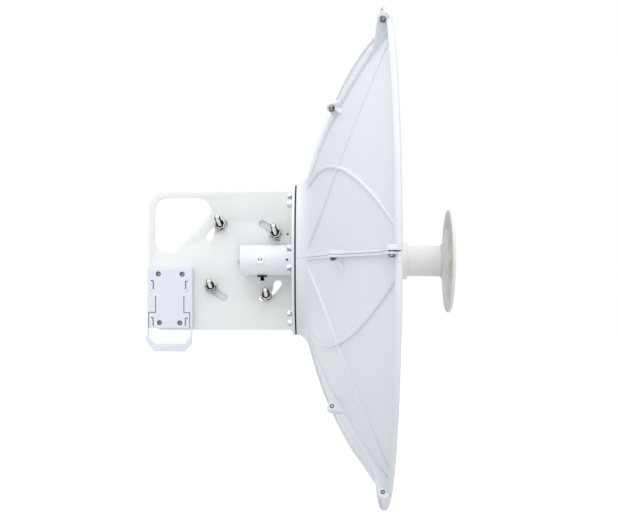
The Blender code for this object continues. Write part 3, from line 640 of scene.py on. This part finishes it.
def rounded_rectangle(x0, x1, r0, r1, radius, count=4):
    """A closed section with round corners, as (x, radius) points."""
    corners = ((x1 - radius, r1 - radius, 0), (x0 + radius, r1 - radius, 90))
    corners += ((x0 + radius, r0 + radius, 180), (x1 - radius, r0 + radius, 270))
    return np.vstack([arc((x, r), radius, a, a + 90, count) for x, r, a in corners])


def socket_screw(lug):
    """A cap screw along z: a domed head with a six-sided socket, and its shank through both flanges."""
    seat = -FLANGE_FACE - FLANGE - 0.0002
    top = seat - SCREW_HEAD_TALL
    dome = arc((top + SCREW_DOME, SCREW_HEAD - SCREW_DOME), SCREW_DOME, 180, 90, 6).tolist()
    end = TIPS[lug]
    shank = [(seat, SCREW_HEAD), (seat, SCREW_SHANK), (end - 0.0005, SCREW_SHANK)]
    shank += [(end, SCREW_SHANK - 0.0006), (end, 0)]
    reach, depth = SCREW_SOCKET
    cut = [(top - 0.001, 0), (top - 0.001, reach), (top + depth, reach), (top + depth + 0.0004, 0)]
    body = turned_mesh([(top, 0)] + dome + shank)
    return carved(body, [turned_mesh(cut, 6)])


def worn_metal(name, light, dark, roughness, patch, scratch, soft=0.5):
    """A bare or plated metal: clouded colour, and gloss broken by fine wipe marks of the given spacing."""
    return grained_finish(
        name, (light, dark), (patch, scratch), (2, 3), (0, 1, roughness * 0.7, roughness * 1.4),
        (0.3, 0.00003), soft=soft, Metallic=1.0,
    )


# Blackened steel: near black, with a dull sheen.
black_oxide = worn_metal("black_oxide_steel", "#2B2A29", "#141312", 0.34, 0.004, 0.0006)
# The same, with small bright patches scattered at random: painted glints.
oxide_with_painted_glints = worn_metal("black_oxide_painted_glints", "#C4C2BD", "#201F1E", 0.26, 0.0016, 0.0005, 0.06)
# Bare cut steel: mid grey, with soft glints.
cut_steel = worn_metal("cut_steel", "#A8A49E", "#7C7873", 0.35, 0.003, 0.0005)
seam_screws, ends = [], []
for number in range(6):
    for lug in (INNER_LUG, OUTER_LUG):
        place = around(SECTOR * number) @ spot(seam_frame(0), lug)
        screw = socket_screw(lug)
        screw.transform(place)
        seam_screws.append(screw)
        tip = rounded_rectangle(TIPS[lug] - 0.001, TIPS[lug] + 0.0003, 0, THREAD_ENDS[lug], 0.0002, 3)
        ends.append(turned_mesh(tip, 20, place))
screw_nodes = ["seam_bolt_%s_%d" % (lug, n) for n in range(1, 7) for lug in ("inner", "outer")]
show("seam_screws", joined(seam_screws), oxide_with_painted_glints, "dish", "dark_steel", *screw_nodes)
show("seam_screw_ends", joined(ends), cut_steel, "dish", "stainless")

# The gasket and the back plate
# A thin ring of violet black foam sits in the step behind the drum, its black also painted shade for
# the gap there, and a steel disc in pale powder coat clamps it there. The disc carries the folded plate
# and lets the feed through its middle.
BACK_PLATE = (0.0666, 0.0696)
BACK_PLATE_RADIUS = 0.0985
FEED_RADIUS = 0.0198
GASKET = (0.0699, 0.0714, 0.0934, 0.0971)


def turned_along_x(profile, columns=96, closed=False):
    """A profile of (x, radius) turned about the dish axis."""
    to_axis = Matrix(((0, 0, 1, 0), (1, 0, 0, AXIS_Y), (0, 1, 0, 0), (0, 0, 0, 1)))
    return turned_mesh(profile, columns, to_axis, closed)


def powder_coat(name, light, dark):
    """Powder-coated steel: a hard satin skin, pale grey, with the slight orange peel of sprayed powder.

    The peel's waves are about 1.5 mm apart and a few hundredths deep, so edges of highlights waver.
    """
    return grained_finish(
        name, (light, dark), (0.05, 0.0015), (3, 1), (0, 1, 0.36, 0.46), (0.35, 0.00008), gloss_follows=0
    )


def gasket_foam_and_gap_shade():
    """Closed-cell rubber foam: a matt violet black, with cells of about half a millimetre. Its black is also
    painted shade for the gap between the hub plate and the drum.
    """
    finish, tree, shader = new_finish("black_foam_painted_gap_shade")
    place = add_node(tree, "ShaderNodeTexCoord").outputs["Object"]
    cells = add_node(tree, "ShaderNodeTexVoronoi", {"Vector": place, "Scale": 1 / 0.0005}).outputs["Distance"]
    tones = {"Color1": linear("#120F1D"), "Color2": linear("#272238")}
    tint = add_node(tree, "ShaderNodeMixRGB", {"Fac": cells, **tones}).outputs["Color"]
    relief = add_node(tree, "ShaderNodeBump", {"Height": cells, "Strength": 0.5, "Distance": 0.0001})
    fill(tree, shader, {"Base Color": tint, "Normal": relief.outputs["Normal"], "Roughness": 0.85})
    return finish


coat = powder_coat("pale_powder_coat", "#E6E9EA", "#E1E4E5")
ring = turned_along_x(rounded_rectangle(*GASKET, 0.0003, 2), closed=True)
show("hub_gasket_and_gap_shade", ring, gasket_foam_and_gap_shade(), "dish", "dark_steel")
disc = rounded_rectangle(*BACK_PLATE, FEED_RADIUS + 0.0004, BACK_PLATE_RADIUS, 0.0004, 3)
show("hub_plate", turned_along_x(disc, closed=True), coat, "dish", "white_enamel", "back_plate")

# The folded plate
# One sheet of 3 mm steel in pale powder coat: a flat web with a hand window, four arc slots about
# the pivot, and a half disc folded square to it that lies behind the hub plate.
SHEET_EDGE = 0.0004
CAD_MERGE = 0.000002


def softened_copy(node):
    """A merged copy of a CAD node's mesh with its sharp edges rounded."""
    body = helper_object("sheet", outward(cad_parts[node].data.copy(), CAD_MERGE))
    bevel = body.modifiers.new("round", "BEVEL")
    bevel.width = SHEET_EDGE
    bevel.segments = 2
    bevel.limit_method = "ANGLE"
    bevel.angle_limit = math.radians(40)
    return finished_mesh(body)


show("folded_plate", softened_copy("mount_plate"), coat, "dish", "white_enamel", "mount_plate")

# The hub bolts
# Twelve flanged hexagon bolts in bright zinc, a pair beside each seam, clamp plate, disc and petals.
HUB_ACROSS = 0.008
HUB_HEAD = 0.0048
HUB_WASHER = (0.0012, 0.0048)
HUB_SHANK = (0.012, 0.0022)
CORNER_CUT = 0.96


def hexagon_mesh(across, low, high, bore=0.0, chamfer_low=False, columns=48):
    """A hexagon bar along z, whole or bored. Cones of 30 degrees trim its corners at the chosen ends.

    A side lies half the flats away, over the cosine of the turn from its middle.
    """
    turn = np.linspace(0, 2 * math.pi, columns, endpoint=False)
    sixth = math.pi / 3
    side = across / 2 / np.cos((turn + sixth / 2) % sixth - sixth / 2)
    flat = across / 2 * CORNER_CUT
    drop = np.maximum(side - flat, 0) * math.tan(math.radians(30))
    rows = [
        (bore, low), (flat if chamfer_low else side, low), (side, low + drop * chamfer_low),
        (side, high - drop), (flat, high), (bore, high),
    ]
    points = [np.stack(np.broadcast_arrays(r * np.cos(turn), r * np.sin(turn), z), -1) for r, z in rows]
    faces = grid_faces(len(rows), columns, close_rows=bore > 0, close_columns=True)
    return outward(mesh_of(np.array(points), faces), MERGE)


def flanged_bolt(seat, place):
    """A hexagon head on its own washer face, along -x from the seat, and its shank."""
    thick, radius = HUB_WASHER
    flange = [(0, 0), (0, radius), (thick * 0.5, radius), (thick, radius - 0.0005), (thick, 0)]
    length, reach = HUB_SHANK
    shank = [(-length, 0), (-length, reach), (0.0005, reach), (0.0005, 0)]
    mesh = joined([
        turned_mesh(flange), hexagon_mesh(HUB_ACROSS, thick * 0.8, thick + HUB_HEAD),
        turned_mesh(shank, 16),
    ])
    mesh.transform(place @ Matrix.Translation((seat, 0, 0)) @ Matrix.Rotation(math.radians(-90), 4, "Y"))
    return mesh


# Bright zinc: pale and glossy, with darker patches some 3 mm across that are painted reflections of the
# surround.
zinc = worn_metal("bright_zinc_plate", "#E4E4E9", "#A2A2AB", 0.24, 0.0035, 0.0005, 0.12)
bolt_nodes = ["hub_bolt_%02d" % number for number in range(1, 13)]
hub_bolts = []
for node in bolt_nodes:
    low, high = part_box(node)
    middle = (low + high) / 2
    place = Matrix.Translation((0, middle.y, middle.z))
    hub_bolts.append(flanged_bolt(low.x + HUB_HEAD + HUB_WASHER[0], place))
show("hub_bolts", joined(hub_bolts), zinc, "dish", "stainless", *bolt_nodes)

# The pole bracket
# A folded channel of 3 mm steel with saw-toothed V mouths for the pole, in a cooler powder coat.
cool_coat = powder_coat("cool_grey_powder_coat", "#DDE4E8", "#D8E0E5")
channel = softened_copy("pole_bracket")
show("pole_channel", channel, cool_coat, "clamp", "white_enamel", "pole_bracket")

# The U-bolts and their nuts
# M8 stainless rod, bent round the pole, with rolled threads on both legs. The nuts are finger tight,
# so the bolts droop and the legs rise towards the camera.
CLAMP_TILT = math.radians(9)
ROD = 0.0039
PITCH = 0.00125
THREAD_DEPTH = 0.0006
THREAD_LENGTH = 0.056
# Painted reflections on the rod: the turn of its highlights, the bright cut ends and tips, and the edges of
# its two bright bands.
HIGHLIGHT_TURN = math.radians(20)
END_FACE_HIGHLIGHT = 0.87
TIP_HIGHLIGHT_LIFT = (0.14, 0.016)
CHAMFER = 0.0012
UNDERSIDE_HIGHLIGHT = (0.77, 0.90)
TOP_HIGHLIGHT = (-0.10, -0.35)
SLOT_RADIUS = 0.0552
SLOT_MIDDLE = math.radians(48)
HALF_SPACING = SLOT_RADIUS * math.cos(SLOT_MIDDLE)
BOLT_HEIGHT = SLOT_RADIUS * math.sin(SLOT_MIDDLE)
PLATE_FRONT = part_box("mount_plate")[0].y
PLATE_MIDDLE = PLATE_FRONT + 0.0015
LEG_FRONT = 0.037
BEND_Y = 0.040
DROOP = {"upper": math.radians(13), "lower": math.radians(10)}
LEAN = {"upper": math.radians(5), "lower": math.radians(1)}
NUT_ACROSS = 0.013
NUT_TALL = 0.0065
WASHER = (0.0016, 0.008)
SPRING_WASHER = (0.0014, 0.0071)
NUT_FACE_RING_RADIUS = 0.0056
BORE = ROD + 0.0002


def leg_base(z, level):
    """A point on a leg's middle line at the plate's front, before the clamp's tilt, and the leg's way."""
    way = np.array([-math.tan(LEAN[level]), -1, math.tan(DROOP[level])])
    start = np.array([0, PLATE_MIDDLE, z])
    return start + way * (PLATE_MIDDLE - PLATE_FRONT), unit(way)


def u_bolt_mesh(z, level):
    """A round rod along a leg, a half circle and the other leg.

    The rod's radius is that of the bar, less the thread's depth times a triangle wave of the way along
    over the pitch minus the turn, so that the ridge climbs one pitch a turn. The UV map holds the
    cosine and the sine of the turn, which place the rod's painted reflections. The sine is raised towards
    the cut ends, where the painted highlight is widest, and never below nought on their chamfers, which
    stay dark. The two end faces, which come last, are set mostly bright.
    """
    base, way = leg_base(z, level)
    to_bend = (BEND_Y - PLATE_FRONT) / -way[1]
    length = LEG_FRONT + to_bend
    leg = np.concatenate([np.arange(0, THREAD_LENGTH, PITCH / 6), np.linspace(THREAD_LENGTH, length, 6)])
    bend = np.linspace(0, math.pi, 48)[1:-1]
    total = 2 * length + math.pi * HALF_SPACING
    s = np.concatenate([leg, length + bend * HALF_SPACING, total - leg[::-1]])
    t = np.concatenate([LEG_FRONT - leg, -to_bend - np.sin(bend) * HALF_SPACING, LEG_FRONT - leg[::-1]])
    side = np.concatenate([leg * 0, bend, leg * 0 + math.pi])
    centre = base + np.outer(np.cos(side) * HALF_SPACING, (1, 0, 0)) + np.outer(t, way)
    up = unit(np.cross([1, 0, 0], way))
    out = np.outer(np.cos(side), np.cross(way, up)) - np.outer(np.sin(side), way)
    tip = np.minimum(s, total - s)
    turn = np.linspace(0, 2 * math.pi, 20, endpoint=False)
    columns = len(turn)
    wave = np.abs((tip[:, None] / PITCH - turn / (2 * math.pi)) % 1 * 2 - 1)
    threaded = np.clip((THREAD_LENGTH - tip) / (2 * PITCH), 0, 1)[:, None]
    radius = np.minimum(ROD - THREAD_DEPTH * wave * threaded, ROD - CHAMFER + tip[:, None])
    round_it = out[:, None] * np.cos(turn)[:, None] + up * np.sin(turn)[:, None]
    points = centre[:, None] + radius[:, :, None] * round_it
    mesh = outward(mesh_of(points, tube_faces(len(s), columns)))
    mesh.transform(Matrix.Rotation(CLAMP_TILT, 4, "Y"))
    corner = np.empty(len(mesh.loops), int)
    mesh.loops.foreach_get("vertex_index", corner)
    around_rod = turn[corner % columns] + HIGHLIGHT_TURN * np.cos(side[corner // columns])
    layer = mesh.uv_layers.new(name="round_the_rod")
    from_tip = tip[corner // columns]
    # Painted highlight, raised towards the tips.
    bare = TIP_HIGHLIGHT_LIFT[0] * np.clip(1 - from_tip / TIP_HIGHLIGHT_LIFT[1], 0, 1)
    sine = np.sin(around_rod)
    sine = np.where(from_tip < CHAMFER, np.maximum(sine, 0), sine + bare)
    uv = np.stack([np.cos(around_rod), sine], -1)
    uv[-2 * columns:] = (0, END_FACE_HIGHLIGHT)
    layer.data.foreach_set("uv", uv.ravel())
    return mesh


def clamp_nut(x, z, level):
    """A chamfered nut and its washer, square to the leg, with the washer's low edge on the plate.

    The blackened spring washer between them and a dark ring round the rod on the nut's face come as a second
    mesh.
    """
    base, way = leg_base(z, level)
    seat = (0.0003 + WASHER[1] * math.sqrt(1 - way[1] ** 2)) / -way[1]
    centre = Vector(base + way * seat + np.array([x, 0, 0]))
    place = Matrix.Rotation(CLAMP_TILT, 4, "Y") @ Matrix.Translation(centre)
    place = place @ Vector(way).to_track_quat("Z", "Y").to_matrix().to_4x4()
    thick, radius = WASHER
    spring_thick, spring_radius = SPRING_WASHER
    foot, face = thick + spring_thick, thick + NUT_TALL
    sections = (
        (0, thick, BORE, radius, 0.0003),
        (thick, foot, BORE, spring_radius, 0.0002),
        (face - 0.0004, face + 0.0003, BORE, NUT_FACE_RING_RADIUS, 0.0001),
    )
    washer, spring, grease = [
        turned_mesh(rounded_rectangle(*section, 3), 40, place, True) for section in sections
    ]
    nut = hexagon_mesh(NUT_ACROSS, foot, face, BORE, True)
    nut.transform(place)
    return joined([washer, nut]), joined([spring, grease])


def rod_with_painted_reflections():
    """Drawn stainless rod in painted reflections: dark flanks, a painted highlight along its lower side and a
    broad one on top.

    The UV map's second value is the sine of the turn, which is 1 along the lower highlight.
    """
    finish, tree, shader = new_finish("stainless_rod_painted_reflections")
    turn = add_node(tree, "ShaderNodeTexCoord").outputs["UV"]
    sine = add_node(tree, "ShaderNodeSeparateXYZ", {"Vector": turn}).outputs["Y"]
    parts = {}
    for number, (start, end) in enumerate((UNDERSIDE_HIGHLIGHT, TOP_HIGHLIGHT)):
        edge = add_node(tree, "ShaderNodeMapRange", {"Value": sine, "From Min": start, "From Max": end})
        parts[number] = edge.outputs["Result"]
    bright = add_node(tree, "ShaderNodeMath", parts, operation="MAXIMUM").outputs["Value"]
    # Painted reflection: near black on the flanks, near white in the bright bands.
    tones = {"Color1": linear("#1E1D1C"), "Color2": linear("#F2F1EE")}
    tint = add_node(tree, "ShaderNodeMixRGB", {"Fac": bright, **tones}).outputs["Color"]
    fill(tree, shader, {"Base Color": tint, "Roughness": 0.25, "Metallic": 1.0})
    return finish


rod_steel = rod_with_painted_reflections()
# Stainless nuts: bright, with soft grey patches some 3 mm across.
stainless = worn_metal("patchy_stainless_steel", "#E6E5E1", "#8B8984", 0.22, 0.0030, 0.0005, 0.15)
nuts, springs = [], []
for level, z in (("upper", BOLT_HEIGHT), ("lower", -BOLT_HEIGHT)):
    rod = u_bolt_mesh(z, level)
    show("threaded_u_bolt_" + level, rod, rod_steel, "clamp", "stainless", "u_bolt_" + level, sharp=50)
    for x in (-HALF_SPACING, HALF_SPACING):
        nut, spring = clamp_nut(x, z, level)
        nuts.append(nut)
        springs.append(spring)
nut_nodes = ["clamp_nut_%s_%s" % (level, side) for level in ("upper", "lower") for side in ("left", "right")]
show("clamp_nuts", joined(nuts), stainless, "clamp", "stainless", *nut_nodes)
show("spring_washers", joined(springs), black_oxide, "clamp", "dark_steel")

# The pivot nut
# A thin lock nut in bright zinc on the bracket's stud, almost hidden behind the feed's rear end.
LOCK_NUT = (0.004, 0.0043)
tall, bore = LOCK_NUT
thin = hexagon_mesh(NUT_ACROSS, 0, tall, bore)
thin.transform(Matrix.Rotation(math.radians(30), 4, "Z"))
outwards = Vector((0, -1, 0)).to_track_quat("Z", "Y").to_matrix().to_4x4()
thin.transform(Matrix.Translation((0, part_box("pivot_nut")[1].y, 0)) @ outwards)
show("pivot_lock_nut", thin, zinc, "clamp", "stainless", "pivot_nut")

# The feed
# A white painted aluminium housing behind the hub, and a pale grey ABS sleeve and tube in front of
# it that end in the round subreflector.
HOUSING = (-0.0021, 0.078)
TUBE_END = 0.2585
SLEEVE_END = 0.215
SLEEVE_RADIUS = 0.0236
DISC_BACK, DISC_FACE, DISC_RADIUS = 0.2673, 0.2714, 0.0668
FEED_SAG = math.radians(0.4)
CLEAR = 0.0003
FOOT = (0.0040, 0.050)
SPUN_RING = ((0.2647, 0.0440), (0.2672, 0.0575), (0.2679, 0.0578), (0.2653, 0.0442))
GRUB_HOLE = (0.0590, 0.0003, 0.0015)
GRUB_DEPTH = 0.0045
DIMPLE = (0.0478, 0.0007, 0.0016)


def moulded_grey(name, light, dark, roughness, grain):
    """Pale moulded plastic, or paint as smooth: satin, in faint clouds 30 mm across, with a fine grain."""
    return grained_finish(
        name, (light, dark), (0.03, grain), (3, 2), (0, 1, roughness - 0.05, roughness + 0.05), (0.2, 0.00004)
    )


def housing_profile():
    """The rear housing as (x, radius): a shallow end cap with a lip, then a plain tube."""
    back, front = HOUSING
    r = FEED_RADIUS
    cap = [(back + 0.0008, 0), (back + 0.0008, r - 0.0035), (back, r - 0.0030), (back, r - 0.0012)]
    edge = arc((back + 0.0010, r - 0.0010), 0.0010, 180, 90, 5)
    lip = [(back + 0.0034, r), (back + 0.0036, r - 0.0003), (back + 0.0044, r - 0.0003), (back + 0.0046, r)]
    return np.vstack([cap, edge, lip, [(front, r), (front, 0)]])


# White paint on the aluminium housing: cooler and glossier than the plastic in front of it.
feed_white = moulded_grey("white_painted_aluminium", "#E6EAF0", "#E1E6EC", 0.34, 0.0009)
# Moulded ABS, pale and slightly warm.
feed_grey = moulded_grey("pale_grey_abs", "#E9E8E7", "#E4E3E2", 0.40, 0.0007)
near_side = Matrix.Translation((0, AXIS_Y - FEED_RADIUS, 0)) @ Matrix.Rotation(math.radians(90), 4, "X")


def bored(x, z, radius, depth):
    """A cutter for a round hole in the housing's near side."""
    profile = [(-depth, 0), (-depth, radius), (0.002, radius), (0.002, 0)]
    return turned_mesh(profile, 24, spot(near_side, (x, z)))


housing = turned_along_x(housing_profile())
housing = carved(housing, [bored(*GRUB_HOLE, GRUB_DEPTH), bored(*DIMPLE, 0.0002)])
show("rear_housing", housing, feed_white, "dish", "housing_white", "feed_housing")

hub_middle = Matrix.Translation((HOUSING[1], 0, 0))
sag = hub_middle @ Matrix.Rotation(FEED_SAG, 4, "Y") @ hub_middle.inverted()


def sagging(profile, closed=False):
    """A profile turned about the feed's front axis, which hangs a little from the hub's middle."""
    mesh = turned_along_x(profile, closed=closed)
    mesh.transform(sag)
    return mesh


tube_start = HOUSING[1] + CLEAR
tube = [(tube_start, 0), (tube_start, FEED_RADIUS), (TUBE_END, FEED_RADIUS), (TUBE_END, 0)]
show("front_tube", sagging(tube), feed_grey, "dish", "feed_grey", "feed_tube")

foot_x = BACK_PLATE[1] + CLEAR
inner = FEED_RADIUS + CLEAR
foot, foot_radius = FOOT
neck = [(foot_x + foot, 0.030), (foot_x + foot, 0.0245), (foot_x + 0.010, SLEEVE_RADIUS)]
sleeve = [(foot_x, inner), (foot_x, foot_radius), (foot_x + foot - 0.0005, foot_radius)]
sleeve += [(foot_x + foot, foot_radius - 0.0005), *bezier(neck, 8).tolist()]
sleeve += [(SLEEVE_END - 0.0016, SLEEVE_RADIUS), (SLEEVE_END - 0.0005, SLEEVE_RADIUS - 0.0005)]
sleeve += [(SLEEVE_END, SLEEVE_RADIUS - 0.0016), (SLEEVE_END, inner)]
collar = sagging(sleeve, True)
show("feed_collar", collar, feed_grey, "dish", "feed_grey", "feed_sleeve")


def subreflector_profile():
    """The subreflector as (x, radius): a hub, a cone down to a groove, a rim, and a shallow dished face."""
    start = TUBE_END + CLEAR
    back = [(start, 0), (start, 0.0212), (start + 0.0010, 0.0222), (start + 0.0022, 0.0235)]
    steps = [(DISC_BACK + 0.0006, 0.0605), (DISC_BACK + 0.0006, 0.0625), (DISC_BACK + 0.0002, 0.0629)]
    rim = [(DISC_BACK, 0.0634), (DISC_BACK, DISC_RADIUS - 0.0006), (DISC_BACK + 0.0006, DISC_RADIUS)]
    front = arc((DISC_FACE - 0.0010, DISC_RADIUS - 0.0010), 0.0010, 90, 0, 4).tolist()
    dish = DISC_FACE - 0.0022
    face = [(DISC_FACE, 0.0612), (DISC_FACE - 0.0005, 0.0606), (dish, 0.0590), (dish, 0)]
    return back + steps + rim + front + face


disc = sagging(subreflector_profile())
# The disc's plastic is a shade warmer than the tube's.
disc_grey = moulded_grey("warm_grey_abs", "#E6E2DB", "#DFDBD3", 0.40, 0.0007)
show("dished_subreflector", disc, disc_grey, "dish", "feed_grey", "subreflector")
# Spun aluminium: warm and nearly matt, in broad clouds.
spun = worn_metal("spun_aluminium", "#ECE7E0", "#CFC8BE", 0.40, 0.012, 0.0007, 0.2)
show("spun_cone", sagging(SPUN_RING, True), spun, "dish", "stainless")

# The feed's plug and connector
# A round moulded plug stands on the housing's near side, with a steel key in its oblong recess. A
# small threaded radio connector in blackened brass hangs under it.
PLUG = (0.0243, 0.0006)
PLUG_RADIUS = 0.0056
PLUG_TALL = 0.0024
PLUG_RECESS = (0.0066, 0.0038, 0.0013)
PIN_RADIUS = 0.0013
CONNECTOR_X = 0.0262
CONNECTOR_FLANGE = (0.0062, 0.0018)
CONNECTOR_BARREL = (0.0027, 0.0049)
BARREL_PITCH = 0.0007
RELIEF_HOLE = (0.0588, 0.0352, 0.0019)


def stadium(length, width, count=8):
    """A slot's outline: two half circles and the straight sides between them."""
    half = (length - width) / 2
    return np.vstack([arc((half, 0), width / 2, -90, 90, count), arc((-half, 0), width / 2, 90, 270, count)])


on_housing = near_side @ Matrix.Translation((*PLUG, 0.0002))
long, wide, deep = PLUG_RECESS
floor_z = PLUG_TALL - deep
recess = plate_mesh(stadium(long, wide), floor_z, PLUG_TALL + 0.001, on_housing)
body = [(0, 0), (0, PLUG_RADIUS), (PLUG_TALL - 0.0006, PLUG_RADIUS)]
body += [(PLUG_TALL - 0.0002, PLUG_RADIUS - 0.0002), (PLUG_TALL, PLUG_RADIUS - 0.0007), (PLUG_TALL, 0)]
plug = carved(turned_mesh(body, 48, on_housing), [recess])
# The plug is whiter than everything round it.
plug_white = moulded_grey("white_plug_abs", "#FBFBFA", "#F6F6F5", 0.35, 0.0007)
show("round_plug", plug, plug_white, "dish", "housing_white", "feed_plug")
oblong = stadium(long - 0.0003, wide - 0.0003)
key = plate_mesh(oblong, floor_z - 0.0001, floor_z + 0.0001, on_housing)
show("plug_key", key, cut_steel, "dish", "stainless")
pin = [(floor_z, 0), (floor_z, PIN_RADIUS), (PLUG_TALL - 0.0003, PIN_RADIUS), (PLUG_TALL - 0.0001, 0)]
show("plug_pin", turned_mesh(pin, 20, on_housing), plug_white, "dish", "housing_white")

half, thick = CONNECTOR_FLANGE
under = Matrix.Translation((CONNECTOR_X, AXIS_Y, -FEED_RADIUS - CLEAR))
under = under @ Matrix.Rotation(math.radians(180), 4, "X")
square = rounded_rectangle(-half, half, -half, half, 0.001, 4)
flange = soft_plate(square, 0, thick, 0.0002, 0.0003, under)
radius, length = CONNECTOR_BARREL
steps = np.arange(0, length - 0.0012, BARREL_PITCH / 2)
ridges = [(thick + 0.0008 + step, radius - 0.0003 * (n % 2)) for n, step in enumerate(steps)]
end = thick + length
barrel = [(thick - 0.0005, 0), (thick - 0.0005, radius - 0.0004), (thick + 0.0007, radius - 0.0004), *ridges]
barrel += [(end, radius - 0.0005), (end, 0.0014), (end - 0.0015, 0.0014), (end - 0.0015, 0.0004)]
barrel += [(end - 0.0002, 0.0003), (end, 0)]
connector = joined([flange, turned_mesh(barrel, 32, under)])
show("radio_connector", connector, black_oxide, "dish", "dark_steel", "feed_connector")

on_plate = Matrix.Translation((0, PLATE_FRONT, 0)) @ Matrix.Rotation(math.radians(90), 4, "X")
# The grub screw's black also stands in for the shade deep in its hole.
for name, (x, z, radius), surface, steel, slot in (
    ("relief_screw", RELIEF_HOLE, on_plate, cut_steel, "stainless"),
    ("grub_screw_and_hole_shade", GRUB_HOLE, near_side, black_oxide, "dark_steel"),
):
    radius -= 0.0001
    profile = [(-0.0025, 0), (-0.0025, radius), (-0.0009, radius), (-0.0005, radius - 0.0004)]
    profile += [(-0.0005, radius * 0.5), (-0.0016, radius * 0.5), (-0.0018, 0)]
    screw = turned_mesh(profile, 24, spot(surface, (x, z)))
    show(name, screw, steel, "dish", slot)

# The radio cradle and its latch
# A cool white moulding screwed to the plate, with guide grooves, hook slots and four deep screws,
# and a bail below it that a fingertip pulls to free the radio. Lengths are (x, z) on its face.
CRADLE_SIDES = (-0.1256, -0.0662, -0.0890, -0.0100)
CRADLE_DEPTH = 0.0105
CRADLE_HOLE = (0.0033, 0.0065)
CRADLE_HEAD = 0.0030
CRADLE_SOCKET = 0.0013
SOCKET_SHIFT = Matrix.Translation((-0.0006, 0.0007, 0))
CRADLE_SCREWS = ((-0.1115, -0.0176), (-0.0801, -0.0180), (-0.1099, -0.0818), (-0.0831, -0.0821))
HOOKS = (
    ((-0.1211, -0.0259), (-0.1179, -0.0272), (-0.1179, -0.0376)),
    ((-0.0722, -0.0273), (-0.0754, -0.0273), (-0.0754, -0.0376)),
    ((-0.1211, -0.0749), (-0.1181, -0.0760), (-0.1181, -0.0859)),
    ((-0.0722, -0.0760), (-0.0756, -0.0760), (-0.0756, -0.0859)),
)
HOOK_CUT = (0.0016, 0.0050)
GUIDES = (
    ((-0.1149, -0.0463), (-0.1149, -0.0682), (-0.1241, -0.0682), (-0.1241, -0.0900)),
    ((-0.0777, -0.0464), (-0.0777, -0.0687), (-0.0700, -0.0687), (-0.0700, -0.0900)),
)
GUIDE_CUT = (0.0013, 0.0040)
THUMB_DIMPLES = ((-0.1203, -0.0410), (-0.0723, -0.0410))
LATCH_DEPTH = 0.0036
LATCH_OUTER = (
    (-0.1258, -0.0893), (-0.1258, -0.0979), (-0.1280, -0.1005), (-0.1280, -0.1058), (-0.1164, -0.1199),
    (-0.0762, -0.1199), (-0.0670, -0.1094), (-0.0667, -0.0893),
)
LATCH_INNER = (
    (-0.0692, -0.0893), (-0.0696, -0.0999), (-0.0768, -0.1090), (-0.1157, -0.1090), (-0.1236, -0.1012),
    (-0.1243, -0.0992), (-0.1241, -0.0979), (-0.1241, -0.0893),
)

face_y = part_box("radio_cradle")[0].y
on_face = Matrix.Translation((0, face_y, 0)) @ Matrix.Rotation(math.radians(90), 4, "X")


def groove(line, cut):
    """A cutter for a slot of even width along a bent line on the cradle's face."""
    width, depth = cut
    line = np.array(line)
    outline = np.vstack([sideways(line, width / 2), sideways(line, -width / 2)[::-1]])
    return plate_mesh(outline, -depth, 0.001, on_face)


outline = rounded_rectangle(*CRADLE_SIDES, 0.0016, 5)
body = soft_plate(outline, -CRADLE_DEPTH, 0, 0.0002, 0.0007, on_face)
cuts = [groove(line, HOOK_CUT) for line in HOOKS] + [groove(line, GUIDE_CUT) for line in GUIDES]
radius, depth = CRADLE_HOLE
mouth = radius + 0.0004
hole = [(-depth, 0), (-depth, radius), (-0.0004, radius), (0.0001, mouth), (0.001, mouth), (0.001, 0)]
dimple = [(-0.0009, 0), (-0.0007, 0.0009), (-0.0003, 0.0017), (0.0001, 0.0021), (0.001, 0.0021), (0.001, 0)]
for profile, columns, points in ((hole, 32, CRADLE_SCREWS), (dimple, 24, THUMB_DIMPLES)):
    cuts += [turned_mesh(profile, columns, spot(on_face, point)) for point in points]
# Polycarbonate with a blue cast, a little duller than the petals.
cradle_white = moulded_grey("cool_white_polycarbonate", "#DCDFEA", "#D7DAE6", 0.42, 0.0007)
cradle = carved(body, cuts)
show("cradle_body", cradle, cradle_white, "dish", "cradle_white", "radio_cradle")
head = [(-depth + 0.0002, 0), (-depth + 0.0002, CRADLE_HEAD), (-0.0032, CRADLE_HEAD), (-0.0024, 0.0024)]
head += [(-0.0021, 0)]
socket = [(-0.0050, 0), (-0.0050, CRADLE_SOCKET), (0, CRADLE_SOCKET), (0, 0)]
screws = []
for point in CRADLE_SCREWS:
    place = spot(on_face, point)
    screws.append(carved(turned_mesh(head, 24, place), [turned_mesh(socket, 6, place @ SOCKET_SHIFT)]))
show("cradle_screws", joined(screws), cut_steel, "dish", "dark_steel")
bail = soft_plate(LATCH_OUTER + LATCH_INNER, -LATCH_DEPTH, 0, 0.0003, 0.0006, on_face)
show("latch_bail", bail, cradle_white, "dish", "cradle_white", "latch_loop")

# The dressed model's box
# The corners of every shown piece but the floor.
low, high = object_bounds()
